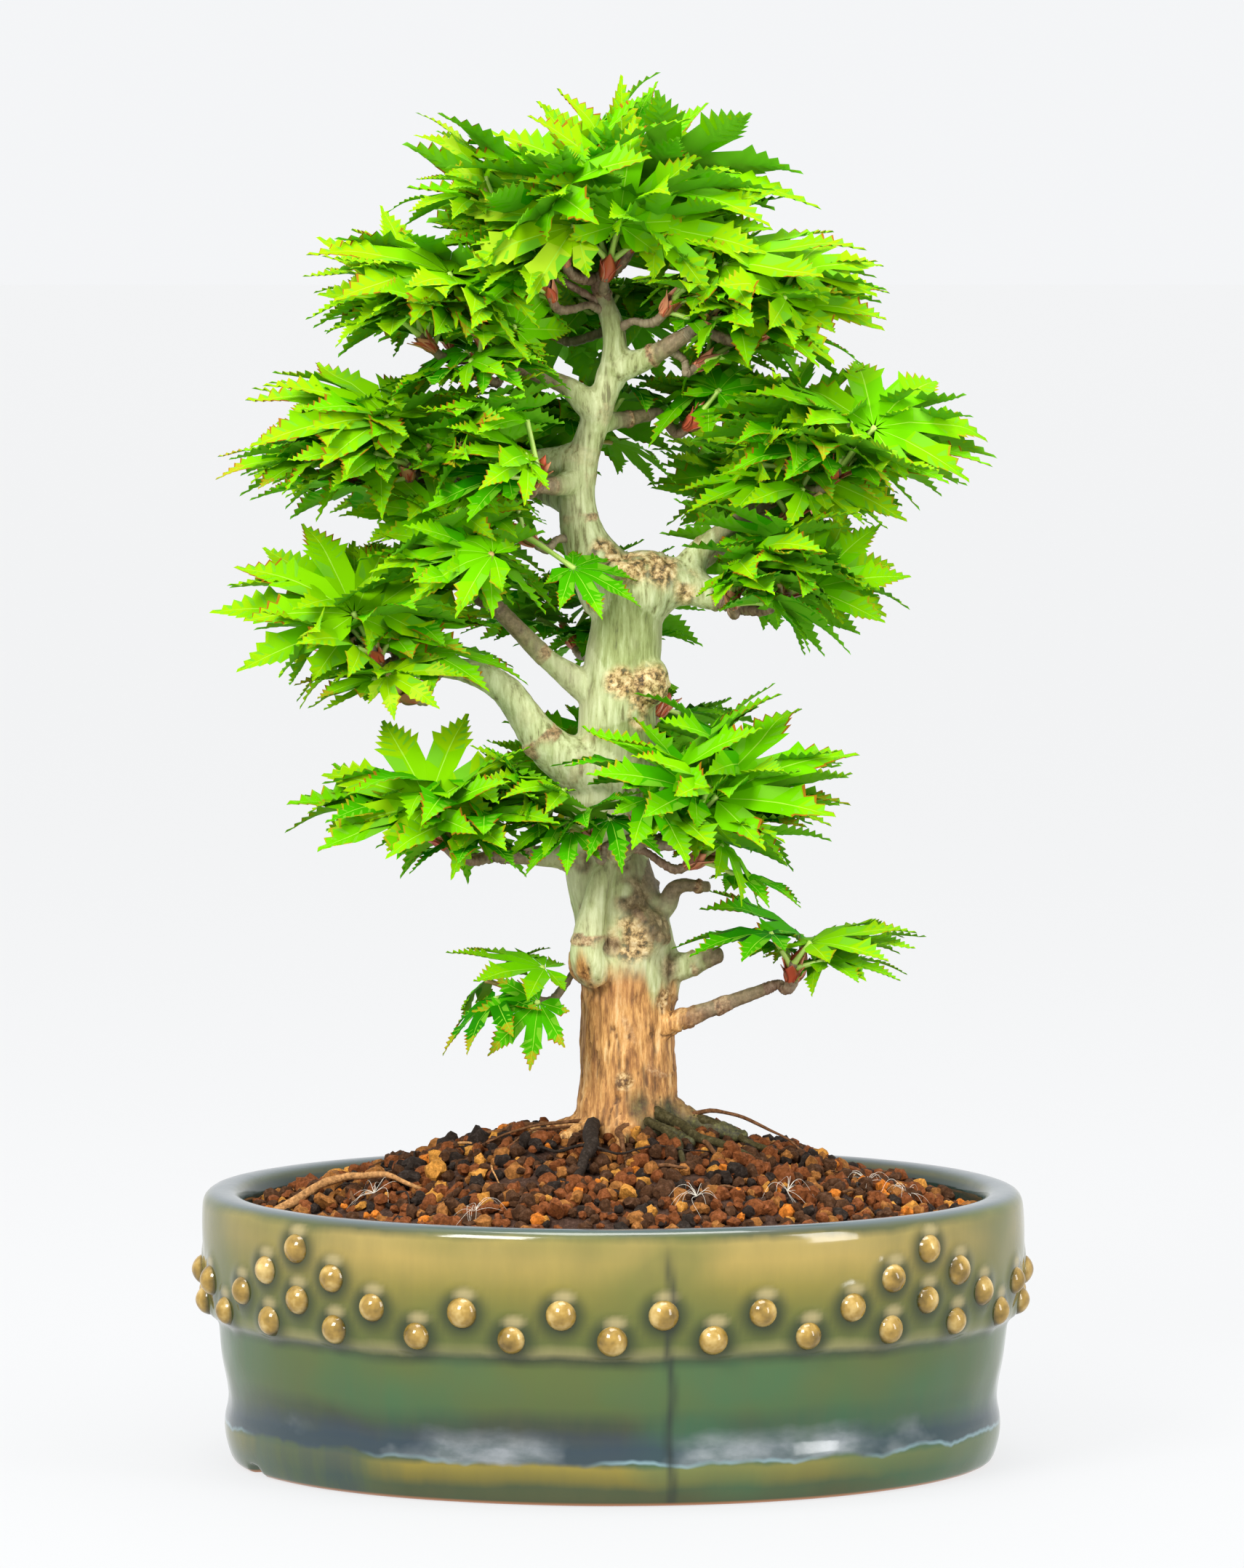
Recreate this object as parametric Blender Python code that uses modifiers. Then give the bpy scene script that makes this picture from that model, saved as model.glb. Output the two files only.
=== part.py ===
"""A dwarf Japanese maple grown as a bonsai, in its oval drum pot. Metres, +Z up.

The origin is on the surface that the pot stands on, under the middle of the pot.
+X is to the right of the tree's front and -Y is the front.
"""

import math
import random

import bmesh
import bpy
import numpy as np
from mathutils import Matrix, Vector
from mathutils.bvhtree import BVHTree

# Driving sizes of the pot
POT_LENGTH = 0.220
POT_DEPTH_SHARE = 0.84
POT_HEIGHT = 0.073
NAIL_STEPS = 52
NAIL_RADIUS = 0.0042
NAIL_STANDS_OUT = 0.0030
POT_WALL = 0.0110
FLOOR_TOP = 0.0100
SOIL_EDGE = 0.0650
MOUND_RADII = (0.0270, 0.0480, 0.0780)
MOUND_HEIGHTS = (0.0875, 0.0815, 0.0725)
CLOD_RINGS = (0.0880, 0.0780, 0.0680, 0.0580, 0.0480, 0.0380)
CLOD_HEIGHT = 0.0019
CLOD_SEED = 41
NOTCH_ANGLES = (-68, 112)

# Driving sizes of the ground line, of the gap between neighbours and of the limbs' lines
MM = 0.001
GROUND = MOUND_HEIGHTS[0]
CLEARANCE = 0.00035
LINE_STEPS = 2

# Driving sizes of the foliage
LEAF_LENGTH = 0.0310
FULL_SIZE_SPACE = 0.0330
LEAF_THICKNESS = 0.0014
LEAF_FOLD = 0.07
PETIOLE_RADIUS = 0.00058
PETIOLE_LENGTH = (0.0050, 0.0150)
TWIG_RADIUS = 0.0017
BUD_LENGTH = 0.0120
PAIR_STEP = 0.0032
BUD_SPREAD = 0.36
FORK_AT = 0.0042
CELL_GAP = 0.0010
CELL_TALL = 1.3
LIMB_ROOM = 0.0005
STALK_ROOM = 0.0003
LEAF_TRIES = 130
LEAF_BENDS = 9

# A leaf's outline on one side of its tip: the angle from the midrib in degrees, and how far it reaches
LEAF_HALF_OUTLINE = [(19, 0.47), (38, 0.88), (61, 0.40), (86, 0.60), (160, 0.055)]

COLOURS = {
    "pot": ((0.115, 0.130, 0.045), 0.16),
    "soil": ((0.160, 0.062, 0.028), 0.92),
    "trunk": ((0.330, 0.270, 0.150), 0.70),
    "bough": ((0.340, 0.330, 0.180), 0.65),
    "foliage": ((0.090, 0.330, 0.012), 0.45),
}

# The trunk's line and taper: its foot, its top, and the bows and bulges on the way, in millimetres
TRUNK_FOOT = (3.9, 85.0, 13.2)
TRUNK_TOP = (4.4, 240.2, 9.3)
TRUNK_BOWS = [(-6.4, 166.2, 19.0), (-2.8, 202.2, 17.0)]
TRUNK_BULGES = [(2.2, 85.0, 9.0), (1.3, 138.2, 10.0)]
TRUNK_RINGS = 13

# Healed scars and knobs on the trunk: middle and half sizes in millimetres
TRUNK_LUMPS = [
    ((9.0, -4.0, 208.7), (6.2, 6.8, 7.2)),
    ((8.5, -1.0, 237.7), (8.2, 7.2, 6.0)),
    ((7.0, -6.0, 141.7), (8.5, 8.5, 9.0)),
    ((-5.0, -7.0, 134.7), (7.0, 6.8, 7.5)),
    ((12.5, 0.0, 130.2), (6.0, 6.2, 12.0)),
    ((11.0, -3.0, 115.2), (4.6, 5.0, 5.0)),
]

# Roots that flare over the soil: direction in degrees from +X, then length, height and radius in mm
TRUNK_ROOTS = [
    (-8, 29.0, 14.0, 5.6), (-48, 23.5, 11.0, 4.6), (-95, 21.5, 8.0, 4.2), (-140, 24.0, 9.0, 4.2),
    (178, 25.0, 8.0, 4.6), (125, 24.0, 10.0, 4.8), (72, 26.0, 12.0, 5.0), (30, 24.0, 10.0, 4.6),
]

# The cut sprout against the front of the trunk, as a limb is given below
TRUNK_SPROUT = (3.6, 2.8, 6, [(-3.5, -9, 131.2), (-6.8, -12.8, 138.2), (-3.2, -12.4, 156.7), (0.6, -9.6, 161.7)])

# Each limb: what carries it, its first and last radius, its sides, and the bends it goes through, in mm
LIMBS = {
    "leader": ("trunk", 6.2, 2.5, 10, [
        (1, 1, 231.2), (-7.6, 0, 247.2), (-8.8, -0.6, 264.2), (0.5, -1.2, 295.2), (-3, 0, 312.2),
    ]),
    "bough_upper_left": ("leader", 2.8, 2.2, 6, [(-3.5, -1.5, 280.2), (-14, -3, 288.2), (-30, -4, 294.2)]),
    "bough_upper_right": ("leader", 3.0, 2.1, 6, [(0.2, -1, 292.2), (9, -3.5, 294.7), (20, -6, 301.2)]),
    "bough_right_inner": ("leader", 2.2, 1.8, 6, [(-4.5, -0.5, 277.7), (3, 6, 278.2), (9.5, 10.5, 279.2)]),
    "bough_left_inner": ("leader", 2.6, 2.1, 6, [(-8.6, -0.5, 263.2), (-14.5, -7, 261.2), (-20, -11.5, 261.2)]),
    "bough_left_mid": ("leader", 3.6, 2.3, 8, [(-8, 0, 267.2), (-30, 3, 266.2), (-50, -3, 263.7)]),
    "bough_left_low_inner": ("trunk", 3.4, 2.2, 6, [(0, -1, 202.2), (-16.5, -4.5, 214.2), (-30, -8.5, 228.2)]),
    "bough_left_low": ("trunk", 7.0, 2.4, 8, [
        (2, -1, 182.2), (-16, -4.5, 190.7), (-31, -6.5, 208.7), (-52, -7, 214.2),
    ]),
    "bough_right": ("trunk", 7.0, 3.2, 8, [(6, 0, 232.2), (17, -0.5, 234.7), (29, -3, 230.7)]),
    "bough_right_rise": ("bough_right", 3.4, 2.3, 6, [(19, -0.5, 234.2), (24, 2, 244.2), (43, -3, 258.2)]),
    "bough_right_back": ("bough_right", 3.4, 2.2, 6, [(12, 0, 233.7), (19, 12, 237.2), (38, 27, 248.2)]),
    "bough_back_left": ("leader", 3.2, 2.2, 6, [(-8.6, -0.5, 256.2), (-17, 11, 257.7), (-29, 26, 260.2)]),
    "bough_back_top": ("leader", 2.8, 2.0, 6, [(-0.6, -1.2, 289.2), (0.6, 10, 293.2), (1.5, 24, 301.2)]),
    "bough_back_mid": ("trunk", 3.6, 2.3, 6, [(0.5, 0, 202.2), (-1, 14, 206.2), (-3, 26, 213.2)]),
    "bough_back_low": ("trunk", 3.6, 2.3, 6, [(-1, 1, 168.2), (3, 14, 170.2), (6, 25, 175.2)]),
    "bough_front_low": ("trunk", 3.4, 2.3, 6, [(-1.5, -2, 163.2), (1, -13, 164.7), (5, -20, 167.2)]),
    "bough_left_bottom": ("trunk", 3.0, 2.2, 6, [(-3, -1, 160.2), (-15, -5, 162.2), (-29, -9, 162.7)]),
    "bough_right_low": ("trunk", 2.6, 1.8, 6, [(8, -3, 113.7), (19, -7.5, 119.0), (41, -8, 127.2)]),
    "spur_right_up": ("trunk", 2.6, 1.5, 6, [
        (6, -1, 141.2), (14, -4.5, 148.7), (17.2, -5.6, 154.2), (26, -6, 154.2),
    ]),
    "spur_right": ("trunk", 3.4, 1.9, 6, [(11, -1, 132.2), (18.5, -3, 132.7), (29, -4.5, 136.2)]),
}

# Each mass of leaves: its limb, the middle and half sizes of its space in mm, its buds, leaves and seed
MASSES = {
    "foliage_apex": ("leader", (-3, -4, 341), (55, 44, 33), 4, 28, 11),
    "foliage_upper_left": ("bough_upper_left", (-47, -6, 311), (38, 38, 26), 3, 20, 12),
    "foliage_upper_right": ("bough_upper_right", (38, -8, 311), (36, 38, 25), 3, 19, 13),
    "foliage_far_right": ("bough_right_rise", (61, -6, 276), (38, 38, 24), 3, 18, 14),
    "foliage_right_inner": ("bough_right_inner", (20, 14, 281), (25, 30, 20), 2, 9, 15),
    "foliage_right_low": ("bough_right", (42, -8, 241), (36, 36, 24), 3, 16, 16),
    "foliage_left_mid": ("bough_left_mid", (-65, -6, 273), (38, 38, 24), 3, 18, 17),
    "foliage_left_inner": ("bough_left_inner", (-29, -20, 272), (26, 32, 23), 2, 11, 18),
    "foliage_left_low": ("bough_left_low", (-68, -8, 227), (37, 38, 27), 3, 20, 19),
    "foliage_left_low_inner": ("bough_left_low_inner", (-36, -14, 243), (30, 34, 22), 2, 12, 20),
    "foliage_front_low": ("bough_front_low", (24, -24, 184), (42, 36, 28), 4, 20, 21),
    "foliage_left_bottom": ("bough_left_bottom", (-43, -12, 177), (43, 36, 24), 3, 17, 22),
    "foliage_right_bottom": ("bough_right_low", (47, -6, 137), (36, 30, 20), 2, 8, 23),
    "foliage_left_sprout": ("trunk", (-27, -8, 126), (24, 24, 22), 1, 4, 24),
    "foliage_back_top": ("bough_back_top", (-12, 46, 309), (44, 36, 30), 3, 17, 25),
    "foliage_back_left": ("bough_back_left", (-42, 46, 264), (38, 36, 26), 3, 16, 26),
    "foliage_back_right": ("bough_right_back", (46, 46, 264), (36, 36, 28), 3, 16, 27),
    "foliage_back_mid": ("bough_back_mid", (-6, 50, 226), (36, 32, 24), 2, 10, 28),
    "foliage_back_low": ("bough_back_low", (6, 44, 183), (42, 36, 26), 3, 14, 29),
}
# How high in mm the sprout with no bough leaves the trunk, and which way it points
SPROUT_HEIGHT = 125.5
SPROUT_HEADING = (-0.95, -0.20, 0.25)
SPROUT_RADIUS = 1.2


# Small vector helpers

def unit(vector):
    return vector / np.linalg.norm(vector)


def square_to(direction, towards):
    """The unit vector square to direction that leans most towards another."""
    return unit(towards - direction * np.dot(towards, direction))


def turned(vector, axis, angle):
    """vector turned about a unit axis by an angle in radians."""
    across = np.cross(axis, vector)
    along = axis * np.dot(axis, vector)
    return vector * math.cos(angle) + across * math.sin(angle) + along * (1 - math.cos(angle))


# Scene, materials and Booleans

def clear_scene():
    for thing in list(bpy.data.objects):
        bpy.data.objects.remove(thing)


def new_collection(name):
    collection = bpy.data.collections.new(name)
    bpy.context.scene.collection.children.link(collection)
    return collection


def material(kind):
    """A Principled material of the kind's colour, made once."""
    found = bpy.data.materials.get(kind)
    if found:
        return found
    made = bpy.data.materials.new(kind)
    made.use_nodes = True
    colour, roughness = COLOURS[kind]
    shader = made.node_tree.nodes["Principled BSDF"]
    shader.inputs["Base Color"].default_value = (*colour, 1.0)
    shader.inputs["Roughness"].default_value = roughness
    shader.inputs["Metallic"].default_value = 0.0
    return made


def add_object(name, mesh, collection):
    made = bpy.data.objects.new(name, mesh)
    collection.objects.link(made)
    return made


def evaluated_mesh(thing):
    """The object's mesh after its modifiers, in world space, with doubled points merged."""
    bpy.context.view_layer.update()
    graph = bpy.context.evaluated_depsgraph_get()
    mesh = bpy.data.meshes.new_from_object(thing.evaluated_get(graph))
    mesh.transform(thing.matrix_world)
    shape = bmesh.new()
    shape.from_mesh(mesh)
    bmesh.ops.remove_doubles(shape, verts=shape.verts, dist=1e-6)
    shape.to_mesh(mesh)
    shape.free()
    return mesh


def as_plain_mesh(thing):
    """Replaces an object by its evaluated mesh and returns that mesh."""
    mesh = evaluated_mesh(thing)
    bpy.data.objects.remove(thing)
    return mesh


def keep_largest_shell(mesh):
    """Drops loose scraps, and shells that seal a hollow, so that one closed body is left."""
    shape = bmesh.new()
    shape.from_mesh(mesh)
    unseen = set(shape.faces)
    shells = []
    while unseen:
        waiting = [unseen.pop()]
        shell = []
        while waiting:
            face = waiting.pop()
            shell.append(face)
            for edge in face.edges:
                for other in edge.link_faces:
                    if other in unseen:
                        unseen.remove(other)
                        waiting.append(other)
        shells.append(shell)
    size = [sum(face.calc_area() for face in shell) for shell in shells]
    largest = size.index(max(size))
    scraps = [face for index, shell in enumerate(shells) if index != largest for face in shell]
    if scraps:
        bmesh.ops.delete(shape, geom=scraps, context="FACES")
    shape.to_mesh(mesh)
    shape.free()


def fuse(name, meshes, solver="EXACT"):
    """One closed mesh from overlapping closed meshes, by one Boolean union on a collection."""
    helpers = new_collection(name + "_pieces")
    base = add_object(name + "_base", meshes[0], helpers)
    joined = bpy.data.collections.new(name + "_joined")
    helpers.children.link(joined)
    for index, mesh in enumerate(meshes[1:]):
        add_object(f"{name}_piece_{index}", mesh, joined)
    union = base.modifiers.new("union", "BOOLEAN")
    union.operation = "UNION"
    union.operand_type = "COLLECTION"
    union.collection = joined
    union.solver = solver
    mesh = evaluated_mesh(base)
    for thing in list(helpers.all_objects):
        bpy.data.objects.remove(thing)
    bpy.data.collections.remove(joined)
    bpy.data.collections.remove(helpers)
    keep_largest_shell(mesh)
    return mesh


def cut(name, mesh, cutter_mesh):
    """mesh less cutter_mesh."""
    helpers = new_collection(name + "_cut")
    base = add_object(name + "_base", mesh, helpers)
    cutter = add_object(name + "_cutter", cutter_mesh, helpers)
    cutter.hide_render = True
    cutter.display_type = "WIRE"
    difference = base.modifiers.new("difference", "BOOLEAN")
    difference.operation = "DIFFERENCE"
    difference.object = cutter
    result = evaluated_mesh(base)
    for thing in list(helpers.all_objects):
        bpy.data.objects.remove(thing)
    bpy.data.collections.remove(helpers)
    keep_largest_shell(result)
    return result


def finished(name, mesh, kind, collection, smooth=True):
    """The named object of a finished mesh, with its material."""
    mesh.name = name
    if smooth:
        mesh.shade_smooth()
        mesh.set_sharp_from_angle(angle=math.radians(38))
    else:
        mesh.shade_flat()
    mesh.materials.clear()
    mesh.materials.append(material(kind))
    return add_object(name, mesh, collection)


# Basic shapes as meshes

def tube(points, sides, grow=0.0):
    """A tapering tube along x, y, z, radius points, as a mesh, grown on its sides and its ends."""
    line = [Vector(point[:3]) for point in points]
    line[0] += (line[0] - line[1]).normalized() * grow
    line[-1] += (line[-1] - line[-2]).normalized() * grow
    curve = bpy.data.curves.new("tube", "CURVE")
    curve.dimensions = "3D"
    curve.bevel_depth = 1.0
    curve.bevel_resolution = (sides - 4) // 2
    curve.use_fill_caps = True
    spline = curve.splines.new("POLY")
    spline.points.add(len(points) - 1)
    for spot, place, point in zip(spline.points, line, points):
        spot.co = (*place, 1.0)
        spot.radius = point[3] + grow
    return as_plain_mesh(add_object("tube", curve, bpy.context.scene.collection))


def ball(centre, half_sizes, around=8, up=5, grow=0.0, turn=None):
    """An ellipsoid as a mesh, turned by a rotation matrix if one is given."""
    shape = bmesh.new()
    bmesh.ops.create_uvsphere(shape, u_segments=around, v_segments=up, radius=1.0)
    size = Matrix.Diagonal([half + grow for half in half_sizes] + [1.0])
    turning = turn.to_4x4() if turn else Matrix.Identity(4)
    bmesh.ops.transform(shape, matrix=Matrix.Translation(centre) @ turning @ size, verts=shape.verts)
    mesh = bpy.data.meshes.new("ball")
    shape.to_mesh(mesh)
    shape.free()
    return mesh


def box(low, high):
    """A box between two corners, as a mesh."""
    shape = bmesh.new()
    bmesh.ops.create_cube(shape, size=1.0)
    size = [b - a for a, b in zip(low, high)]
    middle = [(a + b) / 2 for a, b in zip(low, high)]
    matrix = Matrix.Translation(middle) @ Matrix.Diagonal(size + [1.0])
    bmesh.ops.transform(shape, matrix=matrix, verts=shape.verts)
    mesh = bpy.data.meshes.new("box")
    shape.to_mesh(mesh)
    shape.free()
    return mesh


def turned_oval(name, profile):
    """A profile of radius and height pairs, turned about Z and flattened to the pot's oval."""
    mesh = bpy.data.meshes.new(name)
    half_step = math.pi / NAIL_STEPS
    points = [(r * math.sin(half_step), -r * math.cos(half_step), z) for r, z in profile]
    mesh.from_pydata(points, [(i, i + 1) for i in range(len(points) - 1)], [])
    thing = add_object(name, mesh, bpy.context.scene.collection)
    screw = thing.modifiers.new("turn", "SCREW")
    screw.steps = NAIL_STEPS
    screw.render_steps = NAIL_STEPS
    screw.use_merge_vertices = True
    screw.merge_threshold = 0.00001
    screw.use_normal_calculate = True
    thing.scale = (1.0, POT_DEPTH_SHARE, 1.0)
    solid = as_plain_mesh(thing)
    shape = bmesh.new()
    shape.from_mesh(solid)
    bmesh.ops.recalc_face_normals(shape, faces=shape.faces)
    shape.to_mesh(solid)
    shape.free()
    return solid


# The pot and its soil

def pot_profile():
    """The pot's section: from the rim down the outer wall to the underside, and from the floor up inside."""
    outer = POT_LENGTH / 2
    wall = POT_WALL
    return [
        (outer - wall + 0.0015, POT_HEIGHT), (outer - 0.0028, POT_HEIGHT), (outer, POT_HEIGHT - 0.0030),
        (outer - 0.0022, 0.0405), (outer - 0.0050, 0.0378), (outer - 0.0072, 0.0188),
        (outer - 0.0060, 0.0122), (outer - 0.0068, 0.0062), (outer - 0.0090, 0.0), (0.0, 0.0),
    ], [
        (0.0, FLOOR_TOP), (outer - 0.0220, FLOOR_TOP), (outer - wall - 0.0010, 0.0480),
        (outer - wall, POT_HEIGHT - 0.0015),
    ]


def nail_rows():
    """The pot's nails as step and height: a zigzag all round, with four pyramids that rise from it."""
    zigzag = (0.0443, 0.0510)
    rise = (0.0577, 0.0644)
    quarter_marks = (7, NAIL_STEPS // 2 - 7, NAIL_STEPS // 2 + 7, NAIL_STEPS - 7)
    nails = [(step, zigzag[step % 2]) for step in range(NAIL_STEPS)]
    for mark in quarter_marks:
        nails += [(mark - 1, rise[0]), (mark + 1, rise[0]), (mark, rise[1])]
    return nails


def wall_radius(height):
    """The pot's outer radius along X at a height between its ledge and its rim."""
    outer, _ = pot_profile()
    section = sorted((z, r) for r, z in outer[2:5])
    return float(np.interp(height, [z for z, _ in section], [r for _, r in section]))


def build_pot(collection):
    outer, inner = pot_profile()
    shell = turned_oval("pot_shell", outer + inner + outer[:1])
    nails = []
    facet = math.cos(math.pi / NAIL_STEPS)
    for step, height in nail_rows():
        angle = step * 2 * math.pi / NAIL_STEPS
        radius = wall_radius(height) * facet
        out = Vector((math.sin(angle), -math.cos(angle) / POT_DEPTH_SHARE, 0.0)).normalized()
        middle = Vector((radius * math.sin(angle), -radius * POT_DEPTH_SHARE * math.cos(angle), height))
        turn = out.to_track_quat("Z", "Y").to_matrix()
        half_sizes = (NAIL_RADIUS, NAIL_RADIUS, NAIL_STANDS_OUT)
        nails.append(ball(middle, half_sizes, around=6, up=3, turn=turn))
    mesh = fuse("pot", [shell] + nails)
    foot = outer[-2][0]
    for notch_angle in NOTCH_ANGLES:
        angle = math.radians(notch_angle)
        spot = Vector((foot * math.sin(angle), -foot * POT_DEPTH_SHARE * math.cos(angle), 0.0))
        turn = Matrix.Rotation(angle - math.pi / 2, 3, "Z")
        mesh = cut("pot", mesh, ball(spot, (0.0200, 0.0050, 0.0040), up=6, turn=turn))
    finished("pot", mesh, "pot", collection)


def clod_lifts():
    """How far each point of the mound's rings is raised: seeded at every second step, and halfway between."""
    draw = random.Random(CLOD_SEED)
    lifts = []
    for _ in CLOD_RINGS:
        marks = [draw.uniform(-CLOD_HEIGHT, CLOD_HEIGHT) for _ in range(NAIL_STEPS // 2)]
        between = [(mark + following) / 2 for mark, following in zip(marks, marks[1:] + marks[:1])]
        lifts.append([lift for pair in zip(marks, between) for lift in pair])
    return lifts


def raise_clods(mesh):
    """Raises and lowers the points on the mound's rings, so that it has clods."""
    lifts = clod_lifts()
    for vertex in mesh.vertices:
        x, y = vertex.co.x, vertex.co.y / POT_DEPTH_SHARE
        radius = math.hypot(x, y)
        for ring, lift in zip(CLOD_RINGS, lifts):
            if abs(ring - radius) < CLEARANCE and vertex.co.z > SOIL_EDGE:
                turn = math.atan2(x, -y) / (2 * math.pi)
                vertex.co.z += lift[round(turn * NAIL_STEPS - 0.5) % NAIL_STEPS]


def build_soil(collection):
    """The mound of soil, a little clear of the pot all round, with clods, and flat under the trunk."""
    _, inner = pot_profile()
    clear = CLEARANCE / POT_DEPTH_SHARE
    edge = SOIL_EDGE
    wall_r = [r for r, _ in inner[1:]]
    wall_z = [z for _, z in inner[1:]]
    at_edge = float(np.interp(edge, wall_z, wall_r)) - clear
    radii, heights = [*MOUND_RADII, at_edge], [*MOUND_HEIGHTS, edge]
    profile = [
        (0.0, FLOOR_TOP + CLEARANCE), (inner[1][0] - clear, FLOOR_TOP + CLEARANCE),
        (inner[2][0] - clear, inner[2][1]), (at_edge, edge),
        *[(ring, float(np.interp(ring, radii, heights))) for ring in CLOD_RINGS],
        (MOUND_RADII[0], GROUND), (0.0, GROUND),
    ]
    mesh = turned_oval("soil", profile)
    raise_clods(mesh)
    finished("soil", mesh, "soil", collection)


# The trunk and the limbs

def smooth_line(limb):
    """Points of x, y, z and radius on a smooth curve through a limb's bends, evenly tapered."""
    first_radius, last_radius, _, bends = limb
    bends = [np.array(bend, float) for bend in bends]
    through = [2 * bends[0] - bends[1], *bends, 2 * bends[-1] - bends[-2]]
    spans = len(bends) - 1
    points = []
    for step in range(spans * LINE_STEPS + 1):
        span = min(step // LINE_STEPS, spans - 1)
        t = step / LINE_STEPS - span
        before, start, end, after = through[span:span + 4]
        spot = start + (end - before) * t / 2
        spot = spot + (2 * before - 5 * start + 4 * end - after) * t ** 2 / 2
        spot = spot + (3 * start - before - 3 * end + after) * t ** 3 / 2
        radius = first_radius + (last_radius - first_radius) * (span + t) / spans
        points.append((*(spot * MM), radius * MM))
    return points


def trunk_line():
    """The trunk's centre line and radius from foot to top: a lean with bows, a taper with bulges."""
    foot_x, foot_z, foot_radius = TRUNK_FOOT
    top_x, top_z, top_radius = TRUNK_TOP
    points = []
    for ring in range(TRUNK_RINGS + 1):
        share = ring / TRUNK_RINGS
        z = foot_z + (top_z - foot_z) * share
        x = foot_x + (top_x - foot_x) * share
        x += sum(bow * math.exp(-(((z - at) / width) ** 2)) for bow, at, width in TRUNK_BOWS)
        radius = foot_radius + (top_radius - foot_radius) * share
        radius += sum(bulge * math.exp(-(((z - at) / width) ** 2)) for bulge, at, width in TRUNK_BULGES)
        points.append((x * MM, 0.0, z * MM, radius * MM))
    return points


def root_line(direction, length, height, radius):
    """A root's centre line: it leaves the trunk steeply and runs out flat on the ground."""
    angle = math.radians(direction)
    points = []
    for share in (0.15, 0.45, 0.75, 1.0):
        x = TRUNK_FOOT[0] + length * share * math.cos(angle)
        y = length * share * math.sin(angle)
        z = height * (1 - share) ** 1.8 + radius * 0.10
        points.append((x * MM, y * MM, GROUND + z * MM, radius * (1.0 - 0.62 * share) * MM))
    return points


def limb_line(name):
    return trunk_line() if name == "trunk" else smooth_line(LIMBS[name][1:])


def trunk_shape(grow=0.0):
    """The trunk fused with its scars, sprout and flaring roots, all grown by the same amount."""
    pieces = [tube(trunk_line(), 12, grow)]
    for middle, half_sizes in TRUNK_LUMPS:
        pieces.append(ball(Vector(middle) * MM, [half * MM for half in half_sizes], up=6, grow=grow))
    pieces.append(tube(smooth_line(TRUNK_SPROUT), TRUNK_SPROUT[2], grow))
    pieces += [tube(root_line(*root), 6, grow) for root in TRUNK_ROOTS]
    return fuse("trunk", pieces)


def limb_shape(name, grow=0.0):
    return tube(limb_line(name), LIMBS[name][3], grow)


def build_limbs(collection):
    reach = POT_LENGTH
    below = box((-reach, -reach, 0.0), (reach, reach, GROUND + CLEARANCE))
    finished("trunk", cut("trunk", trunk_shape(), below), "trunk", collection)
    for name, limb in LIMBS.items():
        carrier = limb[0]
        mesh = cut(name, limb_shape(name), trunk_shape(CLEARANCE))
        if carrier != "trunk":
            mesh = cut(name, mesh, limb_shape(carrier, CLEARANCE))
        finished(name, mesh, "bough", collection)


def limb_samples(step=0.0015):
    """Points along every limb's centre line, each with the limb's radius there."""
    lines = [trunk_line(), smooth_line(TRUNK_SPROUT)] + [limb_line(name) for name in LIMBS]
    samples = []
    for line in lines:
        for start, end in zip(line, line[1:]):
            start, end = np.array(start), np.array(end)
            count = max(1, math.ceil(np.linalg.norm(end[:3] - start[:3]) / step))
            samples += [start + (end - start) * k / count for k in range(count)]
        samples.append(np.array(line[-1]))
    samples += [np.array([*middle, max(half_sizes)]) * MM for middle, half_sizes in TRUNK_LUMPS]
    return np.array(samples)


# How a mass of leaves grows

def own_space(mass):
    """A mass's own space: its ellipsoid, cut by a plane between its middle and each other mass's."""
    centre, half_sizes = (np.array(part, float) * MM for part in MASSES[mass][1:3])
    normals, limits = [], []
    for other in MASSES:
        if other == mass:
            continue
        middle, sizes = (np.array(part, float) * MM for part in MASSES[other][1:3])
        line = unit(middle - centre)
        mine = 1 / np.linalg.norm(line / half_sizes)
        its = 1 / np.linalg.norm(line / sizes)
        normal = unit((middle - centre) * np.array([1.0, 1.0, CELL_TALL ** 2]))
        point = centre + (middle - centre) * mine / (mine + its)
        normals.append(normal)
        limits.append(np.dot(normal, point) - CELL_GAP / 2)
    return centre, half_sizes, np.array(normals), np.array(limits)


def way_out(space, points):
    """How far the furthest of the points is out of the space, below zero if none is, and which way."""
    centre, half_sizes, normals, limits = space
    scaled = (points - centre) / half_sizes
    reach = np.linalg.norm(scaled, axis=1)
    over = (reach - 1.0) * np.linalg.norm(points - centre, axis=1) / reach
    past = points @ normals.T - limits
    if past.max() > over.max():
        return past.max(), normals[past.max(axis=0).argmax()]
    return over.max(), unit(scaled[over.argmax()] / half_sizes)


def leaf_points(leaf):
    """A leaf's points: its outline in turn with the stalk's foot behind, then its middle's two sides."""
    root, base, direction, normal, length, droop = leaf
    side = np.cross(normal, direction)
    stalk = unit(base - root)
    half_width = unit(side - stalk * np.dot(side, stalk)) * PETIOLE_RADIUS
    half = LEAF_HALF_OUTLINE
    lobes = [(0, 1.00), *half, *[(-angle, reach) for angle, reach in reversed(half)]]
    points = []
    for angle, reach in lobes:
        turn = math.radians(angle)
        flat = direction * math.cos(turn) + side * math.sin(turn)
        fold = LEAF_FOLD if 0.3 < reach < 0.5 else 0.0
        points.append(base + flat * length * reach + normal * length * (fold - droop * reach ** 2))
    behind = len(half) + 1
    points[behind:behind] = [root + half_width, root - half_width]
    through = unit(normal * (1 + np.dot(stalk, direction)) - direction * np.dot(stalk, normal))
    points.append(base + through * LEAF_THICKNESS / 2)
    points.append(base - through * LEAF_THICKNESS / 2)
    return np.array(points)


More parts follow.
